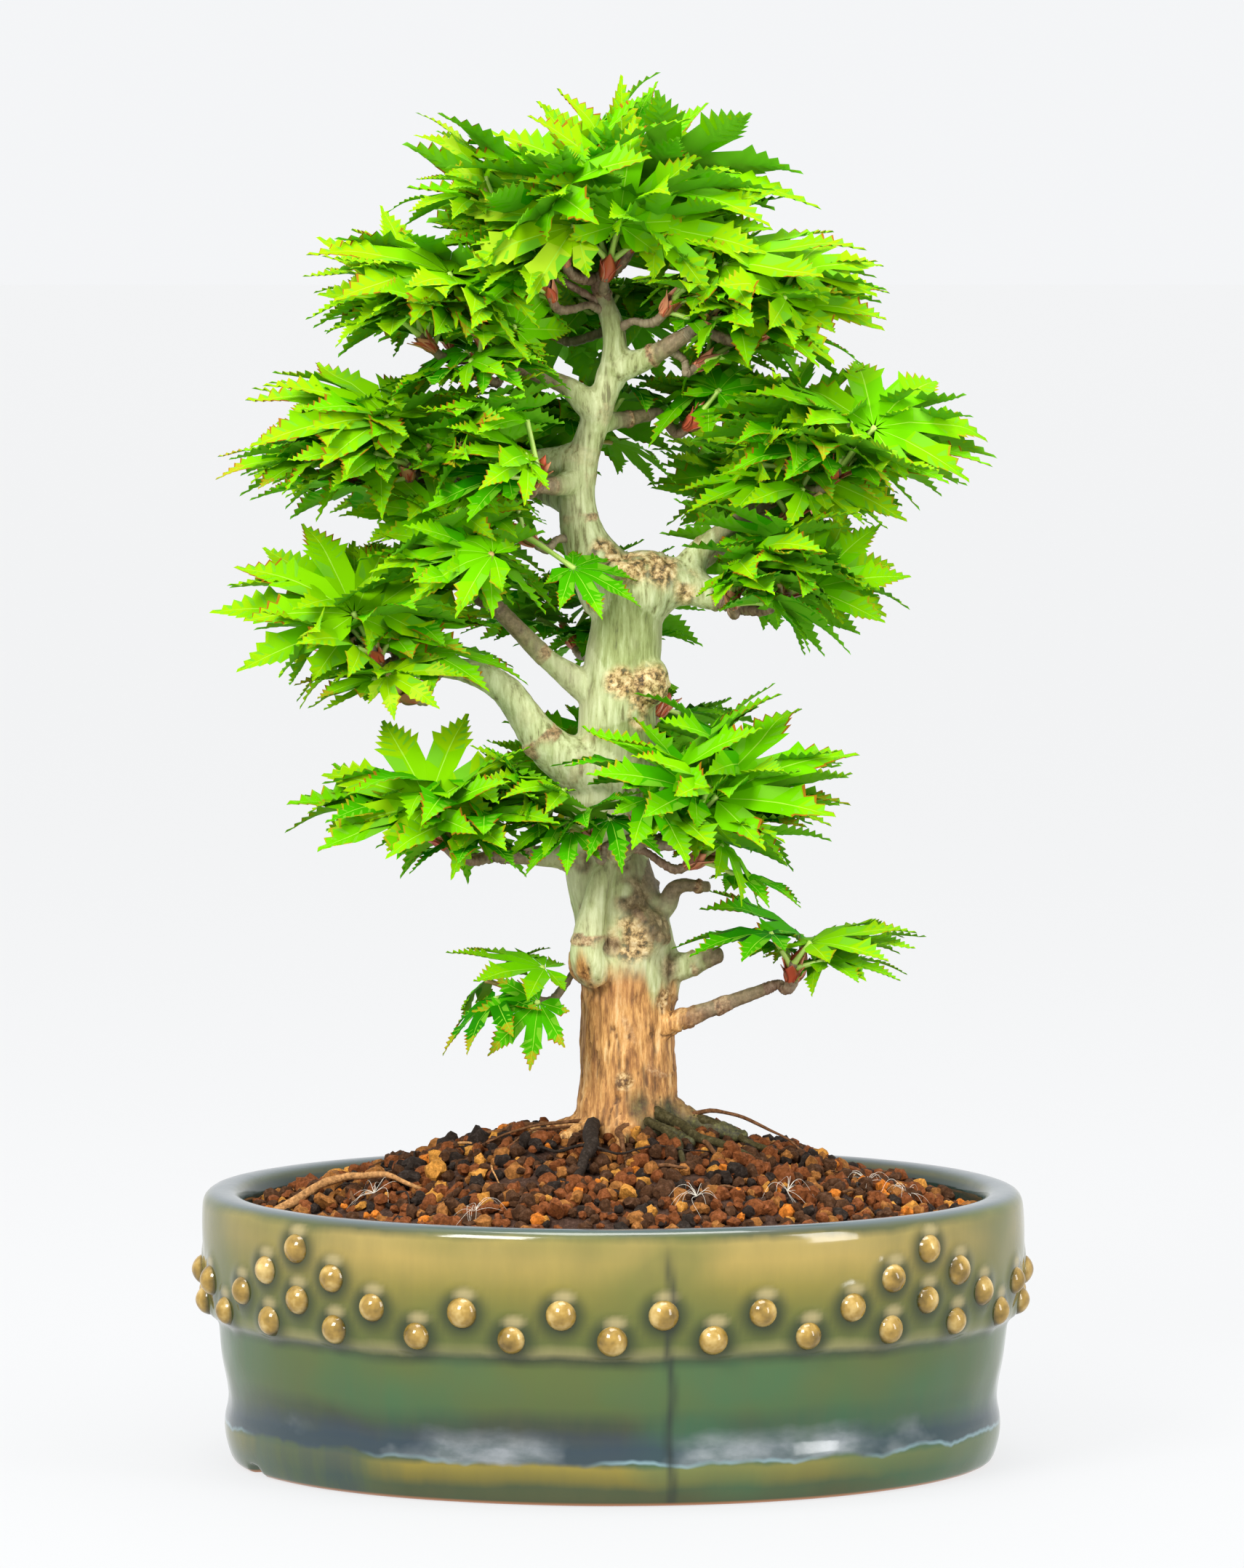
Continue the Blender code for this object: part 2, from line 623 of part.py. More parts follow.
def runs_round(points):
    """True if a leaf's outline, stalk and all, goes once round its middle, so that its sides can't cross."""
    upper, lower = points[-2:]
    middle, through = (upper + lower) / 2, unit(upper - lower)
    across = square_to(through, points[0] - middle)
    level = np.cross(through, across)
    turn = np.unwrap(np.arctan2((points[:-2] - middle) @ level, (points[:-2] - middle) @ across))
    return bool((np.diff(turn) > 0.02).all())


def blade_only(points):
    """A leaf's points without the two at its stalk's foot."""
    behind = len(LEAF_HALF_OUTLINE) + 1
    return np.concatenate([points[:behind], points[behind + 2:]])


def leaf_tree(points):
    """A search tree of the faces of a leaf's blade, to test it against other pieces."""
    count = len(points) - 2
    behind = len(LEAF_HALF_OUTLINE)
    faces = [(k, (k + 1) % count, pole) for pole in (count, count + 1) for k in range(count)]
    faces = [face for face in faces if not behind <= face[0] <= behind + 2]
    return BVHTree.FromPolygons(points.tolist(), faces)


def stem_start(limb):
    """Where a mass's stem begins, just clear of its bough's tip or the trunk, its heading and radius."""
    if limb == "trunk":
        line = np.array(trunk_line())
        x, radius = (np.interp(SPROUT_HEIGHT * MM, line[:, 2], line[:, part]) for part in (0, 3))
        heading = unit(np.array(SPROUT_HEADING))
        foot = np.array([x, 0.0, SPROUT_HEIGHT * MM])
        return foot + heading * (radius + CLEARANCE * 2), heading, SPROUT_RADIUS * MM
    line = np.array(limb_line(limb))
    heading = unit(line[-1, :3] - line[-2, :3])
    return line[-1, :3] + heading * CLEARANCE, heading, line[-1, 3]


def mass_twigs(mass):
    """A mass's twigs as lines of x, y, z and radius, the first with the stem, and its buds' tips and axes."""
    limb, centre, half_sizes, bud_count, _, seed = MASSES[mass]
    draw = random.Random(seed)
    centre, half_sizes = np.array(centre) * MM, np.array(half_sizes) * MM
    start, heading, radius = stem_start(limb)
    fork = start + heading * FORK_AT
    phase = draw.uniform(0.0, 2 * math.pi)
    spread = 0.0 if bud_count == 1 else BUD_SPREAD
    twigs, buds = [], []
    for index in range(bud_count):
        angle = phase + index * 2 * math.pi / bud_count
        offset = np.array([spread * math.cos(angle), spread * math.sin(angle), draw.uniform(-0.60, -0.30)])
        knee = centre + offset * half_sizes
        while np.dot(unit(knee - fork), heading) < 0.3:
            knee = knee + heading * TWIG_RADIUS
        way = unit(knee - fork)
        outwards = np.array([math.cos(angle), math.sin(angle), 0.0])
        axis = unit(way * 0.40 + np.array([0.0, 0.0, 0.75]) + outwards * 0.30)
        tip = knee + axis * BUD_LENGTH
        twig = [(*knee, TWIG_RADIUS), (*tip, TWIG_RADIUS * 0.75)]
        if index == 0:
            twig = [(*start, radius * 0.94), (*fork, radius * 0.86), *twig]
        else:
            twig = [(*(fork - way * radius * 0.3), radius * 0.75), *twig]
        twigs.append(twig)
        buds.append((tip, axis))
    return twigs, buds


def try_leaf(draw, space, bud, order, share, attempt):
    """One way for a leaf to grow from a bud: its stalk's two ends, and its blade, bent back to fit.

    Two leaves face each other, and each pair is turned a quarter from the pair above it.
    """
    tip, axis = bud
    loose = 0.4 + 2.6 * attempt / LEAF_TRIES
    pair = order // 2
    around = math.pi * (order % 2) + math.pi / 2 * pair + draw.uniform(-0.5, 0.5) * loose
    lean = math.radians(28 + 50 * share + draw.uniform(-12, 12) * loose)
    away = turned(square_to(axis, np.array([0.31, 0.95, 0.05])), axis, around)
    root = tip - axis * (PAIR_STEP * pair + TWIG_RADIUS)
    stalk = unit(axis * math.cos(lean) + away * math.sin(lean))
    base = root + stalk * draw.uniform(*PETIOLE_LENGTH)
    root = root - stalk * TWIG_RADIUS * 0.3
    size = LEAF_LENGTH * draw.uniform(0.84, 1.14) * min(1.05, (space[1].mean() / FULL_SIZE_SPACE) ** 0.7)
    middle = space[0] * np.array([1.0, 1.0, 0.0]) + base * np.array([0.0, 0.0, 1.0])
    scatter = np.array([draw.uniform(-0.25, 0.25), draw.uniform(-0.25, 0.25), draw.uniform(-0.25, 0.25)])
    hang = np.array([0.0, 0.0, -0.15 - 0.75 * share * draw.random()])
    direction = unit(stalk * 0.25 + unit(base - middle) * 0.35 + away * 0.60 + hang + scatter * loose)
    face = stalk + np.array([0.0, 0.0, 0.35])
    roll = draw.uniform(-0.2, 0.2)
    droop = draw.uniform(0.10, 0.24)
    for _ in range(LEAF_BENDS):
        normal = turned(square_to(direction, face), direction, roll)
        leaf = (root, base, direction, normal, size, droop)
        over, out = way_out(space, blade_only(leaf_points(leaf)))
        if over < 0.0:
            break
        direction = unit(direction - out * 0.28)
        size *= 0.975
    return leaf


def line_samples(start, end, first_radius, last_radius, step=0.0015):
    """Points along a straight piece, each with its radius."""
    count = max(2, math.ceil(np.linalg.norm(end - start) / step))
    first, last = np.array([*start, first_radius]), np.array([*end, last_radius])
    return [first + (last - first) * k / count for k in range(count + 1)]


def near_any(tree, middle, reach, samples, room):
    """True if the leaf of the tree comes within room of any of the round samples."""
    samples = np.array(samples).reshape(-1, 4)
    near = samples[np.linalg.norm(samples[:, :3] - middle, axis=1) < reach + samples[:, 3] + room]
    return any(tree.find_nearest(s[:3].tolist(), s[3] + room)[0] is not None for s in near)


def mass_leaves(mass, limb_wood):
    """A mass's twigs, and its leaves: each is tried till it stays in the space and touches nothing."""
    _, _, _, bud_count, leaf_count, seed = MASSES[mass]
    draw = random.Random(seed + 1000)
    space = own_space(mass)
    twigs, buds = mass_twigs(mass)
    own_wood = [
        sample for twig in twigs for start, end in zip(twig, twig[1:])
        for sample in line_samples(np.array(start[:3]), np.array(end[:3]), start[3], end[3])
    ]
    wood = np.concatenate([limb_wood, np.array(own_wood)])
    leaves, trees, stalks = [], [], []
    for number in range(leaf_count):
        order, index = divmod(number, bud_count)
        for attempt in range(LEAF_TRIES):
            leaf = try_leaf(draw, space, buds[index], order, number / leaf_count, attempt)
            root, base, _, _, size, _ = leaf
            points = leaf_points(leaf)
            if not runs_round(points) or way_out(space, blade_only(points))[0] > 0.0:
                continue
            tree = leaf_tree(points)
            if any(tree.overlap(other) for other in trees):
                continue
            if near_any(tree, base, size, wood, LIMB_ROOM) or near_any(tree, base, size, stalks, STALK_ROOM):
                continue
            stalk = line_samples(root, base, PETIOLE_RADIUS, PETIOLE_RADIUS)
            away = np.array(stalk[1:])[:, None, :3] - limb_wood[None, :, :3]
            if (np.linalg.norm(away, axis=2) - limb_wood[None, :, 3]).min() < PETIOLE_RADIUS + LIMB_ROOM:
                continue
            if any(near_any(other, base, size, stalk[:-1], STALK_ROOM) for other in trees):
                continue
            leaves.append(leaf)
            trees.append(tree)
            stalks += stalk[1:-2]
            break
    return twigs, leaves


def leaf_mesh(leaf):
    """A leaf and its stalk as a thin solid: a ball of two rows of faces, its points moved to the leaf's."""
    points = leaf_points(leaf)
    count = len(points) - 2
    shape = bmesh.new()
    bmesh.ops.create_uvsphere(shape, u_segments=count, v_segments=2, radius=1.0)
    for vertex in shape.verts:
        if abs(vertex.co.z) > 0.5:
            vertex.co = points[count] if vertex.co.z > 0 else points[count + 1]
        else:
            turn = math.atan2(vertex.co.y, vertex.co.x) / (2 * math.pi)
            vertex.co = points[round(turn * count) % count]
    mesh = bpy.data.meshes.new("leaf")
    shape.to_mesh(mesh)
    shape.free()
    return mesh


def build_foliage(collection):
    wood = limb_samples()
    for mass in MASSES:
        twigs, leaves = mass_leaves(mass, wood)
        mesh = fuse(mass, [tube(twig, 4) for twig in twigs] + [leaf_mesh(leaf) for leaf in leaves])
        print(mass, "has", len(leaves), "leaves")
        finished(mass, mesh, "foliage", collection, smooth=False)


def main():
    clear_scene()
    tree = new_collection("bonsai")
    build_pot(tree)
    build_soil(tree)
    build_limbs(tree)
    build_foliage(tree)


main()
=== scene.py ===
import bpy, bmesh, itertools, math, random, time
import numpy as np
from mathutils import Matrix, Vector


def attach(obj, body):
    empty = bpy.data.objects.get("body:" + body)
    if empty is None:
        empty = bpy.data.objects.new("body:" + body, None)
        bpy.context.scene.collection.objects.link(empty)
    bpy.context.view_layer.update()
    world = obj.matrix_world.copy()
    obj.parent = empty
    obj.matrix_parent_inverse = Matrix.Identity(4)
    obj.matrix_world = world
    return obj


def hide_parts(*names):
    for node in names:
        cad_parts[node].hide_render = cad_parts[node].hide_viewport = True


# A little maple tree in an oval glazed drum pot. Metres, +Z up, front towards -Y.
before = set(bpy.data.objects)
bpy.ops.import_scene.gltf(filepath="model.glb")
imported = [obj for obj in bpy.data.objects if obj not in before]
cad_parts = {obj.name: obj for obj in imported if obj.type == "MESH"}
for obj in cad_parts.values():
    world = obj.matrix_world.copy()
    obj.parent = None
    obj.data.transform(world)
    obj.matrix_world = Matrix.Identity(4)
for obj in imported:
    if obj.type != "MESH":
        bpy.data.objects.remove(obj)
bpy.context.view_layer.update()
startedAt = time.time()
mm = 0.001


def plainFinish(name, tone, roughness, **more):
    # one plain tone and roughness, and other sockets by their names
    made = bpy.data.materials.new(name)
    made.use_nodes = True
    inputs = made.node_tree.nodes["Principled BSDF"].inputs
    inputs["Base Color"].default_value = (*tone, 1)
    inputs["Roughness"].default_value = roughness
    for key, value in more.items():
        inputs[key].default_value = value
    return made


def addThing(name, data, at=(0, 0, 0), to=None):
    # an object of the given data, which looks at a spot if one is given
    thing = bpy.data.objects.new(name, data)
    thing.location = at
    if to is not None:
        thing.rotation_euler = (Vector(to) - thing.location).to_track_quat("-Z", "Y").to_euler()
    bpy.context.scene.collection.objects.link(thing)
    return thing


# camera, light and floor
studio = {
    "cameraAt": (0.0025, -2.40, 0.368), "cameraTo": (0.0025, 0.0, 0.1812), "lens": 207.3,
    "floorHalf": 14.0, "floorTone": (0.060, 0.061, 0.062), "floorGlow": 0.765, "glowTone": (0.985, 0.992, 1.0),
    "skyTone": (0.975, 0.985, 1.0), "skyPower": 0.93,
    # soft boxes: where each stands, what it looks at, its width and height, and its power
    "boxes": {
        "keyLight": ((-0.75, -1.15, 1.05), (0, 0, 0.20), (0.6, 0.6), 24),
        "rightLight": ((1.10, -0.80, 0.55), (0, 0, 0.15), (0.35, 0.9), 10),
        "topLight": ((0.05, -0.10, 1.50), (0, 0, 0.10), (0.9, 0.6), 16),
    },
    # the far light: its power, and how wide it is and how it is turned, in degrees
    "farPower": 0.45, "farSpread": 60, "farTurn": (20, -15, 0),
}


def makeStudio():
    scene = bpy.context.scene
    lens = bpy.data.cameras.new("camera")
    lens.sensor_width, lens.lens, lens.clip_end = 36.0, studio["lens"], 50.0
    scene.camera = addThing("camera", lens, studio["cameraAt"], studio["cameraTo"])
    sky = bpy.data.worlds.new("sky")
    sky.use_nodes = True
    sky.node_tree.nodes["Background"].inputs["Color"].default_value = (*studio["skyTone"], 1)
    sky.node_tree.nodes["Background"].inputs["Strength"].default_value = studio["skyPower"]
    scene.world = sky
    scene.view_settings.view_transform = "Standard"
    for name, (at, to, size, power) in studio["boxes"].items():
        lamp = bpy.data.lights.new(name, "AREA")
        lamp.shape, lamp.size, lamp.size_y, lamp.energy = "RECTANGLE", *size, power
        addThing(name, lamp, at, to)
    sun = bpy.data.lights.new("farLight", "SUN")
    sun.energy, sun.angle = studio["farPower"], math.radians(studio["farSpread"])
    addThing("farLight", sun).rotation_euler = [math.radians(part) for part in studio["farTurn"]]
    # floor: one wide flat square
    side = studio["floorHalf"]
    mesh = bpy.data.meshes.new("floor")
    mesh.from_pydata([(-side, -side, 0), (side, -side, 0), (side, side, 0), (-side, side, 0)], [], [(0, 1, 2, 3)])
    glow = {"Emission Color": (*studio["glowTone"], 1), "Emission Strength": studio["floorGlow"]}
    mesh.materials.append(plainFinish("paperFloor", studio["floorTone"], 0.90, **glow))
    addThing("floor", mesh)
    print("studio: camera, lights and floor")


makeStudio()

# small helpers for arrays, pieces and materials
anySide = np.array([0.31, 0.95, 0.05])  # a heading that no limb, stalk or bud runs along


def unit(rows):
    # rows divided by their own lengths
    return rows / np.linalg.norm(rows, axis=-1, keepdims=True)


def squareTo(direction, towards):
    # the unit vectors square to direction that lean most towards another
    return unit(towards - direction * (direction * towards).sum(-1, keepdims=True))


def turned(rows, axis, angle):
    # rows turned about unit axes: cosine part, sine part across, and what lies along the axis
    c, s = np.cos(angle)[..., None], np.sin(angle)[..., None]
    return rows * c + np.cross(axis, rows) * s + axis * (axis * rows).sum(-1, keepdims=True) * (1 - c)


def smoothStep(low, high, x):
    # from nought at low to one at high: three times the square less twice the cube of the way between
    t = np.clip((x - low) / (high - low), 0, 1)
    return t * t * (3 - 2 * t)


noiseTable = np.random.default_rng(77).permutation(256)
noiseValue = np.random.default_rng(78).random(256)


def softNoise(points, seed=0):
    # random values on a cubic lattice, blended smoothly between each cube's eight corners, from -1 to 1
    cell = np.floor(points).astype(int)
    part = points - cell
    part = part * part * (3 - 2 * part)
    total = np.zeros(len(points))
    for a, b, c in itertools.product((0, 1), repeat=3):
        key = noiseTable[(cell[:, 0] + a + seed * 17) & 255]
        key = noiseTable[(key + cell[:, 1] + b) & 255]
        key = noiseTable[(key + cell[:, 2] + c) & 255]
        share = (part[:, 0] if a else 1 - part[:, 0]) * (part[:, 1] if b else 1 - part[:, 1])
        total += noiseValue[key] * share * (part[:, 2] if c else 1 - part[:, 2])
    return total * 2 - 1


def makePiece(name, points, faces, materials, stands=(), faceMaterial=None, values=None, sharp=None):
    # faces is a list of index arrays, one array for each number of corners
    mesh = bpy.data.meshes.new(name)
    corners = np.concatenate([part.ravel() for part in faces]).astype(np.int32)
    sizes = np.concatenate([np.full(len(part), part.shape[1]) for part in faces])
    mesh.vertices.add(len(points))
    mesh.vertices.foreach_set("co", np.asarray(points, np.float32).ravel())
    mesh.loops.add(len(corners))
    mesh.loops.foreach_set("vertex_index", corners)
    mesh.polygons.add(len(sizes))
    mesh.polygons.foreach_set("loop_start", np.concatenate([[0], np.cumsum(sizes)[:-1]]).astype(np.int32))
    mesh.update(calc_edges=True)
    for material in materials:
        mesh.materials.append(material)
    if faceMaterial is not None:
        mesh.polygons.foreach_set("material_index", np.asarray(faceMaterial, np.int32))
    for key, rows in (values or {}).items():
        mesh.attributes.new(key, "FLOAT", "POINT").data.foreach_set("value", np.asarray(rows, np.float32))
    mesh.shade_smooth()
    if sharp:
        mesh.set_sharp_from_angle(angle=math.radians(sharp))
    thing = addThing(name, mesh)
    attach(thing, "root")
    if stands:
        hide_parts(*stands)
    print(f"{name}: {len(points)} points, {int((sizes - 2).sum())} triangles, {time.time() - startedAt:.1f} s")


def gridFaces(rows, columns, closed=True):
    # quads of a rows by columns grid of points, closed round in its columns if asked
    r, c = np.meshgrid(np.arange(rows - 1), np.arange(columns if closed else columns - 1), indexing="ij")
    n = (c + 1) % columns
    quads = np.stack([r * columns + c, r * columns + n, (r + 1) * columns + n, (r + 1) * columns + c], -1)
    return quads.reshape(-1, 4)


def fanFaces(count, start, tip, onward=True):
    # triangles from a closed ring of points to one tip, the ring taken onward or backward
    k = np.arange(count)
    ends = [start + k, start + (k + 1) % count]
    return np.stack([*(ends if onward else ends[::-1]), np.full(count, tip)], 1)


def lengthAlong(points):
    # the way walked along a row of points, from nought at the first
    return np.concatenate([[0], np.cumsum(np.linalg.norm(np.diff(points, axis=0), axis=1))])


def joined(parts):
    # several point and face arrays as one, their numbers moved on
    starts = np.cumsum([0] + [len(part[0]) for part in parts])
    points = np.concatenate([part[0] for part in parts])
    kinds = range(1, len(parts[0]))
    return [points] + [np.concatenate([part[k] + start for part, start in zip(parts, starts)]) for k in kinds]


def partTones(tones, parts):
    # each part's tone dealt out to its quads and triangles, in the order in which joined() puts them
    return np.concatenate([np.repeat(tones, [len(part[k]) for part in parts]) for k in (1, 2)])


def meshArrays(mesh):
    # a mesh's points, and its faces as one index array for each number of corners, quads first
    points, corners = np.empty(len(mesh.vertices) * 3, np.float32), np.empty(len(mesh.loops), np.int32)
    sizes = np.empty(len(mesh.polygons), np.int32)
    mesh.vertices.foreach_get("co", points)
    mesh.loops.foreach_get("vertex_index", corners)
    mesh.polygons.foreach_get("loop_total", sizes)
    starts = np.cumsum(sizes) - sizes
    faces = [corners[starts[sizes == n][:, None] + np.arange(n)] for n in (4, 3) if (sizes == n).any()]
    return points.reshape(-1, 3).astype(float), faces


def ballTemplate(levels):
    # a unit ball of even triangles
    shape, mesh = bmesh.new(), bpy.data.meshes.new("ball")
    bmesh.ops.create_icosphere(shape, subdivisions=levels, radius=1.0)
    shape.to_mesh(mesh)
    shape.free()
    points, (faces,) = meshArrays(mesh)
    bpy.data.meshes.remove(mesh)
    return points, faces


class Shade:
    # a short way to lay out a material's nodes
    def __init__(self, name, roughness=0.5):
        self.material = bpy.data.materials.new(name)
        self.material.use_nodes = True
        self.tree = self.material.node_tree
        self.shader = self.tree.nodes["Principled BSDF"]
        self.shader.inputs["Roughness"].default_value = roughness

    def node(self, kind, inputs=None, **settings):
        made = self.tree.nodes.new(kind)
        for key, value in settings.items():
            setattr(made, key, value)
        for key, value in (inputs or {}).items():
            self.put(made.inputs[key], value)
        return made

    def put(self, socket, value):
        if isinstance(value, bpy.types.NodeSocket):
            self.tree.links.new(value, socket)
        elif isinstance(value, tuple) and len(value) == 3 and socket.type == "RGBA":
            socket.default_value = (*value, 1)
        else:
            socket.default_value = value

    def objectPoint(self, scale=(1, 1, 1)):
        spot = self.node("ShaderNodeTexCoord").outputs["Object"]
        return self.node("ShaderNodeMapping", {"Vector": spot, "Scale": scale}).outputs["Vector"]

    def noise(self, scale, stretch=(1, 1, 1), detail=4.0, roughness=0.55):
        spot = self.objectPoint(stretch)
        inputs = {"Vector": spot, "Scale": scale, "Detail": detail, "Roughness": roughness}
        return self.node("ShaderNodeTexNoise", inputs).outputs["Fac"]

    def attribute(self, name):
        return self.node("ShaderNodeAttribute", attribute_name=name).outputs["Fac"]

    def math(self, operation, a, b=0.0, c=0.0):
        made = self.node("ShaderNodeMath", operation=operation)
        for socket, value in zip(made.inputs, (a, b, c)):
            self.put(socket, value)
        return made.outputs[0]

    def steps(self, value, low, high, to=(0.0, 1.0)):
        inputs = {"Value": value, "From Min": low, "From Max": high, "To Min": to[0], "To Max": to[1]}
        return self.node("ShaderNodeMapRange", inputs).outputs["Result"]

    def waver(self, value, noise, reach):
        # a value moved up and down by a noise, by half the reach at most
        return self.math("MULTIPLY_ADD", self.math("SUBTRACT", noise, 0.5), reach, value)

    def mix(self, share, a, b):
        made = self.node("ShaderNodeMix", data_type="RGBA")
        self.put(made.inputs["Factor"], share)
        self.put(made.inputs[6], a)
        self.put(made.inputs[7], b)
        return made.outputs[2]

    def ramp(self, value, stops):
        made = self.node("ShaderNodeValToRGB", {"Fac": value})
        ramp = made.color_ramp
        while len(ramp.elements) < len(stops):
            ramp.elements.new(1.0)
        for element, (at, tone) in zip(ramp.elements, stops):
            element.position = at
            element.color = (*tone, 1)
        return made.outputs["Color"]

    def finish(self, colour, roughness=None, height=None, distance=0.0003, strength=0.6):
        self.put(self.shader.inputs["Base Color"], colour)
        if roughness is not None:
            self.put(self.shader.inputs["Roughness"], roughness)
        if height is not None:
            bump = self.node("ShaderNodeBump", {"Height": height, "Strength": strength, "Distance": distance})
            self.tree.links.new(bump.outputs["Normal"], self.shader.inputs["Normal"])
        return self.material


# the pot: an oval drum with a stepped wall, and round nails in a zigzag with four small pyramids
pot = {
    "depthShare": 0.84, "around": 480, "rowStep": 1.0,
    "nailSteps": 52, "nailRadius": 0.0037, "nailOut": 0.0031, "nailSwell": 0.00045, "nailSides": 22,
    # a nail's rings from its sunk rim to its crown: shares of its radius and of its height
    "dome": [
        (1.14, -0.45), (1.10, -0.10), (1.04, 0.10), (0.985, 0.28),
        (0.86, 0.50), (0.67, 0.70), (0.45, 0.86), (0.22, 0.96),
    ],
    "zigzag": (0.0443, 0.0510), "rise": (0.0577, 0.0644), "marks": (7, 19, 33, 45),
    # bites out of the foot: their places round the pot in degrees, how high they are, and how far they reach in radians
    "notches": (-68, 112), "notchRise": 0.0030, "notchReach": 0.040,
    # how high the bands of the glaze reach, and where the seam lies and how wide it is
    "glazeHeight": 0.075, "seamAt": 0.0150, "seamWide": 0.0011,
    # where milky patches lie round the pot: angle, reach in degrees and strength
    "milk": [
        (-20, 11, 1.0), (17, 8, 0.9), (33, 7, 0.8), (50, 7, 0.4), (-52, 8, 0.25),
        (97, 12, 0.9), (148, 14, 0.8), (190, 10, 0.9), (228, 14, 0.7), (-98, 12, 0.6),
    ],
    # the outer wall from foot to lip and down inside, as radius and height in mm
    "outline": [
        (0, 0), (60, 0), (99.5, 0), (101.2, 0.5), (102.3, 1.8), (103.9, 7.6), (104.0, 12.2), (102.9, 16.8),
        (103.5, 21.5), (104.8, 27.5), (105.4, 34.0), (105.7, 37.6), (106.2, 38.9), (107.6, 40.0), (108.6, 41.4),
        (109.0, 44.5), (109.8, 52.0), (110.1, 60.0), (110.0, 68.5), (109.4, 71.2), (107.6, 72.7), (105.0, 73.0),
        (101.6, 72.7), (99.8, 71.4), (98.9, 68.5), (98.3, 60.0), (97.6, 48.0), (96.0, 46.0), (60, 46.0), (0, 46.0),
    ],
}


def potOutline():
    # the corner list rounded by two cuts of its corners, then walked at an even step, with few points on the flat parts
    line = np.array(pot["outline"], float)
    for _ in range(2):
        cut = np.empty((2 * len(line) - 2, 2))
        cut[0::2], cut[1::2] = line[:-1] * 0.75 + line[1:] * 0.25, line[:-1] * 0.25 + line[1:] * 0.75
        line = np.concatenate([line[:1], cut, line[-1:]])
    length = lengthAlong(line)
    even = np.concatenate([[0, 40, 80], np.arange(97, length[-1] - 96, pot["rowStep"]), length[-1:]])
    return np.stack([np.interp(even, length, line[:, 0]), np.interp(even, length, line[:, 1])], 1) * mm


def nailPlaces():
    # steps round the pot and heights: a zigzag all round, with four small pyramids rising from it
    nails = [(step, pot["zigzag"][step % 2]) for step in range(pot["nailSteps"])]
    for mark in pot["marks"]:
        nails += [(mark - 1, pot["rise"][0]), (mark + 1, pot["rise"][0]), (mark, pot["rise"][1])]
    return np.array(nails)


def ovalPoint(radius, angle, z):
    # an oval turned from a radius: x is radius times sine, y is less by the depth share
    return np.stack([radius * np.sin(angle), -radius * pot["depthShare"] * np.cos(angle), z + 0 * angle], -1)


